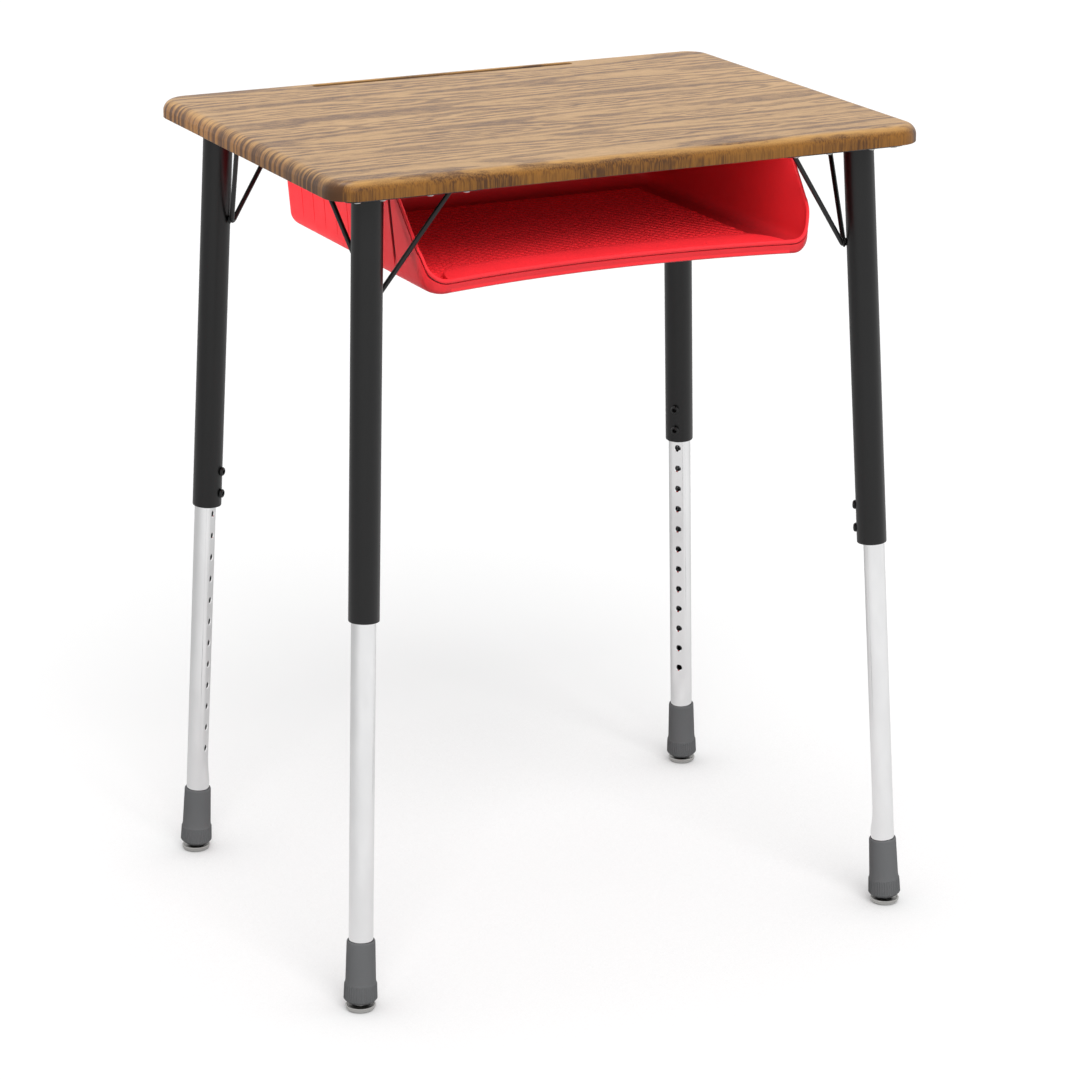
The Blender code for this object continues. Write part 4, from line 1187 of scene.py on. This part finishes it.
def sliding_leg(s, corner):
    """The bright tube with a flat and a row of countersunk height holes."""
    flat = s.radius - s.flat_depth
    inner, inner_flat = s.radius - s.wall, flat - s.wall
    bottom = BOOT_SEAT + SEAT_GAP
    top = s.top_hole + s.above_top_hole
    rings = [round_section(s, s.radius, bottom)]
    for share in RUNOUT_SHARES:
        z = s.flat_start - s.runout + s.runout * share
        full, part = round_section(s, s.radius, z), flatted_section(s, s.radius, flat, z)
        rings.append([tuple(Vector(a).lerp(Vector(b), share)) for a, b in zip(full, part)])
    rings += [
        flatted_section(s, s.radius, flat, s.flat_start + s.runout * RUNOUT_SHARES[1]),
        flatted_section(s, s.radius, flat, top),
        flatted_section(s, inner, inner_flat, top),
        flatted_section(s, inner, inner_flat, s.flat_start),
        round_section(s, inner, s.flat_start - s.runout),
        round_section(s, inner, bottom),
    ]
    leg = loose(f"sliding_leg_{corner}", skin(rings, wrap=True))
    drill = bmesh.new()
    profile = [(flat - 2 * s.wall, 0.0), (flat - 0.0008, 0.0)]
    profile += [(flat + 0.0002, HOLE_COUNTERSINK), (flat + s.wall, HOLE_COUNTERSINK)]
    for i in range(s.holes):
        height = s.top_hole - i * s.hole_pitch
        rings = []
        for x, wider in profile:
            rings.append([(x, y, height + z) for y, z, _ in circle(s.hole_radius + wider, 0, HOLE_SIDES)])
        skin(rings, bm=drill)
    cut(leg, loose("hole_drill", drill))
    leg.data.transform(leg_matrix(corner))
    return leg


# Feet


def boot_radii(s, leg_radius):
    """Outer radii of the boot: at the top, under its straight part, at the band's top and at its foot."""
    top = leg_radius + SEAT_GAP + s.boot_top_wall
    body = top + s.boot_flare
    band = body + s.band_step
    return top, body, band, band + s.band_flare


def foot_boot(s, corner, leg_radius):
    """The nylon boot: a tapered sleeve with a band at its foot, hollow over the glide."""
    top, body, band, foot = boot_radii(s, leg_radius)
    bore = leg_radius + SEAT_GAP
    high = BOOT_BOTTOM + s.boot_height
    band_low = BOOT_BOTTOM + s.chamfer
    band_high = band_low + s.band_height
    stem = s.stem_radius + SEAT_GAP

    # From the recess under the boot up its outside, over its upper edge and down its bore
    profile = [(BOOT_RECESS_RADIUS, BOOT_BOTTOM), (foot - s.chamfer_inset, BOOT_BOTTOM)]
    foot, band = foot - s.rib_height, band - s.rib_height
    profile += [(foot - 0.0003, band_low - 0.0004), (foot, band_low + 0.0006)]
    profile += [(band, band_high - 0.0006), (band - 0.0001, band_high), (band - 0.0004, band_high + 0.0005)]
    profile += [(body + 0.0002, band_high + 0.0026), (body, band_high + 0.0034)]
    profile += [(top, high - 0.0022), (top - 0.0003, high - 0.0009)]
    profile += [(bore + 0.0009, high - 0.0001), (bore + 0.0006, high)]
    profile += [(bore, high - 0.0004), (bore, BOOT_SEAT), (stem, BOOT_SEAT)]
    profile += [(stem, BOOT_RECESS), (BOOT_RECESS_RADIUS, BOOT_RECESS)]
    rings = [circle(r, z, TUBE_SIDES) for r, z in profile]
    return loose(f"foot_boot_{corner}", skin(rings, wrap=True), leg_matrix(corner))


def glide_stud(s, corner):
    """The ball, its neck and the stem that is pressed into the boot."""
    low = BOOT_RECESS - BALL_HEIGHT / math.cos(SPLAY)
    high = low + s.stem_length
    neck = math.degrees(math.acos(s.neck_radius / s.ball_radius))
    profile = [(0.0, -s.ball_radius)] + arc((0, 0), s.ball_radius, -90, neck, 12)[1:]
    profile += [(s.neck_radius, low - 0.0004), (s.stem_radius - 0.0004, low), (s.stem_radius, low + 0.0004)]
    profile += [(s.stem_radius, high - 0.001), (s.stem_radius * 0.75, high), (0.0, high)]
    place = leg_matrix(corner) @ Matrix.Translation((0, 0, BALL_HEIGHT / math.cos(SPLAY)))
    return loose(f"foot_stud_{corner}", lathe(profile, 32), place)


def glide_foot(s, corner):
    """The dished foot, level on the floor, with a hub round the ball."""
    rim, foot = s.glide_diameter / 2, s.glide_foot / 2
    socket = s.ball_radius + SEAT_GAP
    hub = socket + 0.0021
    above = math.sqrt(socket**2 - (s.neck_radius + 0.00105) ** 2)
    mouth = math.degrees(math.asin(above / socket))
    lip = s.glide_height * 0.3

    # From the middle of the underside round the turned-up rim and over the hub, then down the ball's socket
    profile = [(0.0, 0.0), (foot - 0.0006, 0.0), (foot, 0.0003)]
    profile += [(foot + (rim - foot) * 0.35, 0.0007), (foot + (rim - foot) * 0.70, 0.0017)]
    profile += [(rim - 0.0005, 0.0031), (rim, 0.0043), (rim, 0.0053), (rim - 0.0005, 0.0060)]
    profile += [(rim - 0.0012, s.glide_height)]
    profile += [(rim - 0.0021, 0.0059), (rim - 0.0026, 0.0052), (rim - 0.0036, 0.0049)]
    profile += [(hub + lip, 0.0052), (hub + 0.0004, 0.0060), (hub, 0.0068)]
    profile += [(hub - 0.0002, BALL_HEIGHT + above)]
    profile = [(r, z - BALL_HEIGHT) for r, z in profile]
    profile += arc((0, 0), socket, mouth, -90, 10)[:-1] + [(0.0, -socket)]
    return loose(f"foot_glide_{corner}", lathe(profile, 56), Matrix.Translation(BALL[corner]))


# Screws


# Half of a pan head as shares of its radius and its height, and the cross recess as (height, length, width)
PAN_HEAD = ((0.0, 1.0), (0.45, 0.99), (0.72, 0.88), (0.92, 0.60), (1.0, 0.22), (0.98, 0.0))
RECESS = ((-0.0004, 0.56, 0.0005), (0.0014, 0.30, 0.0003))


def wood_screw(s):
    """A pan-head screw with a cross recess, its head below its seat and its point upwards."""
    head, shank = s.head_diameter / 2, s.shank / 2
    profile = [(head * r, -s.head_height * z) for r, z in PAN_HEAD]
    profile += [(shank, 0.0), (shank, s.length - shank * 1.6), (0.0, s.length)]
    screw = loose("wood_screw", lathe(profile, 20))
    for turn in (0.0, math.pi / 2):
        c, k = math.cos(turn), math.sin(turn)
        rings = []
        for rise, long, wide in RECESS:
            corners = [(head * long * x, wide * y) for x, y in CORNERS.values()]
            rings.append([(c * x - k * y, k * x + c * y, rise - s.head_height) for x, y in corners])
        cut(screw, loose("recess_blade", skin(rings)))
    return screw


def hexagon(across_flats, z, sides):
    """A hexagon with as many points as a circle, so that the two can be skinned together."""
    points = []
    for i in range(sides):
        turn = math.tau * i / sides
        off_flat = (turn + math.pi / 6) % (math.pi / 3) - math.pi / 6
        radius = across_flats / 2 / math.cos(off_flat)
        points.append((radius * math.cos(turn), radius * math.sin(turn), z))
    return points


def height_screw(s, tip, seat):
    """A button-head screw with a hexagon socket, along Z from its tip to its crown."""
    sides = 36
    edge = 0.0003
    shank, head = s.button_shank / 2, s.button_diameter / 2
    rim = s.socket / math.sqrt(3) + 0.0004
    crown = seat + s.button_height
    profile = [(shank - 0.0005, tip), (shank, tip + 0.0005), (shank, seat), (head - 0.0002, seat)]
    rings = [circle(r, z, sides) for r, z in profile + [(head, seat + edge)]]
    for i in range(1, 8):
        turn = math.radians(90 * i / 8)
        r = rim + (head - rim) * math.cos(turn)
        rings.append(circle(r, seat + edge + (s.button_height - edge) * math.sin(turn), sides))
    rings += [circle(rim, crown, sides), hexagon(s.socket, crown - 0.0002, sides)]
    rings.append(hexagon(s.socket, crown - s.socket_depth, sides))
    return loose("height_screw", skin(rings))


def wood_screw_places(flange):
    """Seven screws in each corner plate, and six in the flange of the tray."""
    places = []
    for side_x, side_y in CORNERS.values():
        for along in PLATE_SCREWS_ALONG:
            rows = [(along, PLATE_SCREWS_ACROSS), (PLATE_SCREWS_ACROSS, along)]
            for inwards in rows if along > PLATE_SCREWS_ALONG[-1] else rows[:1]:
                x, y = side_x * (LEG_X - inwards[0]), side_y * (LEG_Y - inwards[1])
                places.append(Matrix.Translation((x, y, PLATE_BOTTOM - SEAT_GAP)))
    for i in range(1, 7):
        low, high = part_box(f"box_screw_{i}")
        middle = (low + high) / 2
        places.append(Matrix.Translation((middle.x, middle.y, BOX_TOP - flange - SEAT_GAP)))
    return places


# Operators


class MakeDesktop(bpy.types.Operator):
    """Makes the wood-grain top."""

    bl_idname = "study_desk.make_desktop"
    bl_label = "Desktop"

    def execute(self, context):
        s = context.scene.study_desk_top
        finished(desktop_board(s), wood_grain(s), "desk_frame", ["desktop"])
        return {"FINISHED"}


class MakeBookBox(bpy.types.Operator):
    """Makes the moulded tray with its rim, its front band and the bumps on its floor."""

    bl_idname = "study_desk.make_book_box"
    bl_label = "Book box"

    def execute(self, context):
        s = context.scene.study_desk_box
        red = moulded_plastic("red_moulding", s.red, s.roughness, 1500.0, 0.0002)
        finished(tray(s), red, "desk_frame", ["book_box"], 40)
        finished(front_band(s), red, "desk_frame", sharp=50)
        finished(floor_panel(s), red, "desk_frame", sharp=50)
        floor = add_object("tray_floor_bumps")
        values = {
            "Pitch": s.bump_pitch, "Row pitch": s.bump_rows, "Row shift": s.bump_shift,
            "Width": math.hypot(s.bump_rows, s.bump_shift) * 1.35, "Depth": s.bump_rows * 0.80,
            "Height": s.bump_height, "Turn": -math.atan2(s.bump_rows, s.bump_shift),
            "Half width": BUMPS_HALF_WIDTH, "Back": BUMPS_BACK,
            "Front": BOX_FRONT_MIDDLE + s.band_depth + BUMPS_BEHIND_BAND,
            "Bow curve": s.bow / BOX_HALF_WIDTH**2, "Level": UNDERSIDE - s.height + s.wall + PANEL_HEIGHT,
            "Columns": BUMP_COLUMNS, "Rows": BUMP_ROWS, "Material": red,
        }
        finished(repeated(floor, bump_tree(), values), red, "desk_frame", sharp=60)
        return {"FINISHED"}


class MakeFrame(bpy.types.Operator):
    """Makes the upper legs, the wire braces and the corner plates."""

    bl_idname = "study_desk.make_frame"
    bl_label = "Frame"

    def execute(self, context):
        s = context.scene.study_desk_frame
        black = baked_enamel(s)
        for corner in CORNERS:
            finished(leg_tube(s, corner), black, "desk_frame", [f"upper_leg_{corner}"])
            finished(wire_brace(s, corner), black, "desk_frame", [f"brace_{corner}"])
            finished(corner_plate(corner), black, "desk_frame", [f"leg_plate_{corner}"])
        return {"FINISHED"}


class MakeLowerLegs(bpy.types.Operator):
    """Makes the bright sliding legs with their height holes."""

    bl_idname = "study_desk.make_lower_legs"
    bl_label = "Lower legs"

    def execute(self, context):
        s = context.scene.study_desk_legs
        plate = bright_metal("bright_plating", s.plate, s.roughness, 700.0, 0.0001)
        for corner in CORNERS:
            finished(sliding_leg(s, corner), plate, f"leg_{corner}", [f"lower_leg_{corner}"])
        return {"FINISHED"}


class MakeFeet(bpy.types.Operator):
    """Makes the ribbed boots and the tilting glides."""

    bl_idname = "study_desk.make_feet"
    bl_label = "Feet"

    def execute(self, context):
        s = context.scene.study_desk_feet
        leg_radius = context.scene.study_desk_legs.radius
        grey = moulded_plastic("grey_nylon", s.grey, 0.62, 1100.0, 0.0003)
        nickel = bright_metal("nickel_plating", s.nickel, 0.36, 900.0, 0.0003)
        _, _, band, foot = boot_radii(s, leg_radius)
        tree = rib_tree()
        values = {
            "Radius": (band + foot) / 2 - s.rib_width / 2, "Low": BOOT_BOTTOM + s.chamfer + 0.0004,
            "Height": s.band_height - 0.0008, "Width": s.rib_width, "Count": s.ribs,
            "Lean": -math.atan(s.band_flare / s.band_height), "Material": grey,
        }
        for corner in CORNERS:
            body = f"leg_{corner}"
            finished(foot_boot(s, corner, leg_radius), grey, body, [f"boot_{corner}"])
            ribs = repeated(add_object(f"boot_ribs_{corner}"), tree, values)
            ribs.data.transform(leg_matrix(corner))
            finished(ribs, grey, body, sharp=50)
            finished(glide_stud(s, corner), nickel, body, [f"glide_stud_{corner}"])
            finished(glide_foot(s, corner), nickel, f"glide_{corner}", [f"glide_disc_{corner}"])
        return {"FINISHED"}


class MakeScrews(bpy.types.Operator):
    """Sets the wood screws under the top and the height screws in the legs."""

    bl_idname = "study_desk.make_screws"
    bl_label = "Screws"

    def execute(self, context):
        s = context.scene.study_desk_screws
        legs, tubes = context.scene.study_desk_legs, context.scene.study_desk_frame
        zinc = bright_metal("zinc_plating", s.zinc, 0.32, 1200.0, 0.0002)
        places = wood_screw_places(context.scene.study_desk_box.flange_thickness)
        nodes = [f"plate_screw_{corner}_{i}" for corner in CORNERS for i in range(1, 5)]
        nodes += [f"box_screw_{i}" for i in range(1, 7)]
        self.set_in_place("wood_screws", wood_screw(s), places, zinc, "zinc_plate", nodes, s.seed)

        tip = legs.radius - legs.flat_depth + SEAT_GAP
        seat = tubes.shift + tubes.diameter / 2 + SEAT_GAP
        inwards = Matrix.Rotation(math.pi / 2, 4, "Y")
        places = []
        for corner in CORNERS:
            for height in (legs.top_hole - legs.hole_pitch, legs.top_hole):
                places.append(leg_matrix(corner) @ Matrix.Translation((0, 0, height)) @ inwards)
        nodes = [f"height_screw_{corner}_{level}" for corner in CORNERS for level in ("lower", "upper")]
        black = baked_enamel(tubes)
        master = height_screw(s, tip, seat)
        self.set_in_place("height_screws", master, places, black, "black_enamel", nodes, s.seed)
        return {"FINISHED"}

    def set_in_place(self, name, master, places, material, slot, nodes, seed):
        """Makes one piece of all the screws of a kind, and removes the screw that they were made from."""
        values = {"Fastener": master, "Spin": math.tau, "Seed": seed, "Material": material}
        screws = repeated(seats(name, places), fastener_tree(), values)
        bpy.data.objects.remove(master, do_unlink=True)
        finished(screws, material, "desk_frame", nodes, 40)


# The camera, fitted to the photo, in metres and degrees
CAMERA_PLACE = (-1.6376, -3.37277, 1.60555)
CAMERA_PITCH_AND_TURN = (17.918, -25.998)

# The floor, and where the lamps stand and face: each way points from the desk back to its lamp
WHITE = (1.0, 1.0, 1.0, 1.0)
FLOOR_REACH = 14.0
FLOOR_GLOW = 0.64
SHADE_REACH = 0.9
# Way along which the floor's painted reflection grows brighter
POOL_WAY = (0.3, -0.954, 0.0)
WINDOW_WAY = (-0.10, 0.24, 0.966)
WINDOW_GLOW = 8.0
KEY_PLACE = Vector((0.0, 0.0, 2.0))
KEY_WAY = Vector((-0.14, -0.69, 0.70))
SIDE_PLACE = Vector((-1.69, 0.387, 0.63))
SIDE_AIM = Vector((-BOX_HALF_WIDTH, 0.105, 0.79))
FILL_PLACE = Vector((0.0, -0.175, 0.844))
FILL_WAY = Vector((0.0, -0.35, 0.94))


class SetStage(bpy.types.Operator):
    """Sets the pale floor, the soft studio light and the camera."""

    bl_idname = "study_desk.set_stage"
    bl_label = "Stage"

    def execute(self, context):
        s = context.scene.study_desk_stage
        scene = context.scene
        scene.view_settings.view_transform = "Standard"
        self.lay_floor(s)
        self.light(scene, s)
        data = bpy.data.cameras.new("photo_camera")
        data.lens = s.lens
        data.sensor_width = 36.0
        data.clip_end = 100.0
        scene.camera = add_object("photo_camera", data)
        scene.camera.location = CAMERA_PLACE
        pitch, turn = CAMERA_PITCH_AND_TURN
        scene.camera.rotation_euler = (math.radians(90 - pitch), 0.0, math.radians(turn))
        return {"FINISHED"}

    def lay_floor(self, s):
        """A wide floor seen as white but for the desk's shadow, partly real and partly painted shade."""
        mesh = bpy.data.meshes.new("studio_floor")
        corners = [(FLOOR_REACH * x, FLOOR_REACH * y, 0.0) for x, y in CORNERS.values()]
        mesh.from_pydata(corners, [], [(0, 1, 2, 3)])
        plain = {"Base Color": solid(s.floor), "Roughness": 0.9, "Specular IOR Level": 0.0}
        material, at, shader = new_finish("studio_floor", plain)
        tree = material.node_tree
        start = Socket(tree)
        seen, glossy, through = ray_kinds(start)
        # Painted reflection: for glossy rays the floor glows, brighter towards the front, as a pool that
        # shiny parts reflect
        pool = spread(dot(at, POOL_WAY), -1.5, 1.2) * 0.36 + 0.14
        # Painted shade: ambient occlusion darkens the floor's glow near the desk
        open_sky = start.node("ShaderNodeAmbientOcclusion", {"samples": 8}, {"Distance": SHADE_REACH}, "AO")
        strength = (seen + through) * open_sky * FLOOR_GLOW + glossy * pool
        glow = start.node("ShaderNodeEmission", None, {"Color": WHITE, "Strength": strength})
        both = start.node("ShaderNodeAddShader", None, {0: Socket(tree, shader.outputs[0]), 1: glow})
        tree.links.new(both.output, tree.nodes["Material Output"].inputs["Surface"])
        mesh.materials.append(material)
        floor = add_object("studio_floor", mesh)

    def light(self, scene, s):
        """An even sky with a window for gloss to show, a soft key, a spotlight and a small fill."""
        world = bpy.data.worlds.new("studio")
        world.use_nodes = True
        scene.world = world
        tree = world.node_tree
        start = Socket(tree)
        seen, glossy, through = ray_kinds(start)
        way = start.node("ShaderNodeTexCoord", output="Generated")
        window = spread(dot(way, WINDOW_WAY), 0.965, 0.990)
        strength = s.sky + (seen + through + glossy) * (1.0 - s.sky) + glossy * window * WINDOW_GLOW
        sky = start.node("ShaderNodeBackground", None, {"Color": WHITE, "Strength": strength})
        tree.links.new(sky.output, tree.nodes["World Output"].inputs["Surface"])
        key = {"energy": s.key, "angle": math.radians(40)}
        side = {"energy": s.side, "spot_size": math.radians(22), "spot_blend": 0.8, "shadow_soft_size": 0.2}
        fill = {"energy": s.fill, "shape": "RECTANGLE", "size": 0.42, "size_y": 0.02}
        lamps = (
            ("front_key", "SUN", key, KEY_PLACE, KEY_WAY),
            ("side_spot", "SPOT", side, SIDE_PLACE, SIDE_PLACE - SIDE_AIM),
            ("box_fill", "AREA", fill, FILL_PLACE, FILL_WAY),
        )
        for name, kind, settings, place, way in lamps:
            lamp = bpy.data.lights.new(name, kind)
            for key, value in settings.items():
                setattr(lamp, key, value)
            obj = add_object(name, lamp)
            obj.location = place
            obj.rotation_euler = way.to_track_quat("Z", "Y").to_euler()
            obj.visible_glossy = False
            obj.visible_camera = False


class StudyDeskPanel(bpy.types.Panel):
    """Lists the desk's settings and operators."""

    bl_idname = "VIEW3D_PT_study_desk"
    bl_label = "Study desk"
    bl_space_type = "VIEW_3D"
    bl_region_type = "UI"
    bl_category = "Study desk"

    def draw(self, context):
        for label, group, operator in PARTS:
            box = self.layout.box()
            box.operator(operator, text=label)
            settings = getattr(context.scene, group)
            for key in settings.__annotations__:
                box.prop(settings, key, text=key.replace("_", " ").capitalize())


SETTINGS = {
    "study_desk_top": DesktopSettings,
    "study_desk_box": BookBoxSettings,
    "study_desk_frame": FrameSettings,
    "study_desk_legs": LowerLegSettings,
    "study_desk_feet": FootSettings,
    "study_desk_screws": ScrewSettings,
    "study_desk_stage": StageSettings,
}
OPERATORS = (MakeDesktop, MakeBookBox, MakeFrame, MakeLowerLegs, MakeFeet, MakeScrews, SetStage)
PARTS = [(operator.bl_label, group, operator.bl_idname) for operator, group in zip(OPERATORS, SETTINGS)]
CLASSES = (*SETTINGS.values(), *OPERATORS, StudyDeskPanel)


def register():
    for kind in CLASSES:
        bpy.utils.register_class(kind)
    for name, kind in SETTINGS.items():
        setattr(bpy.types.Scene, name, PointerProperty(type=kind))


def unregister():
    for name in SETTINGS:
        delattr(bpy.types.Scene, name)
    for kind in reversed(CLASSES):
        bpy.utils.unregister_class(kind)


def main():
    for old in [o for o in bpy.data.objects if o.type in {"LIGHT", "CAMERA"} or o.name == "Cube"]:
        bpy.data.objects.remove(old, do_unlink=True)
    register()
    bpy.ops.study_desk.make_desktop()
    bpy.ops.study_desk.make_book_box()
    bpy.ops.study_desk.make_frame()
    bpy.ops.study_desk.make_lower_legs()
    bpy.ops.study_desk.make_feet()
    bpy.ops.study_desk.make_screws()
    bpy.ops.study_desk.set_stage()


if __name__ == "__main__":
    main()
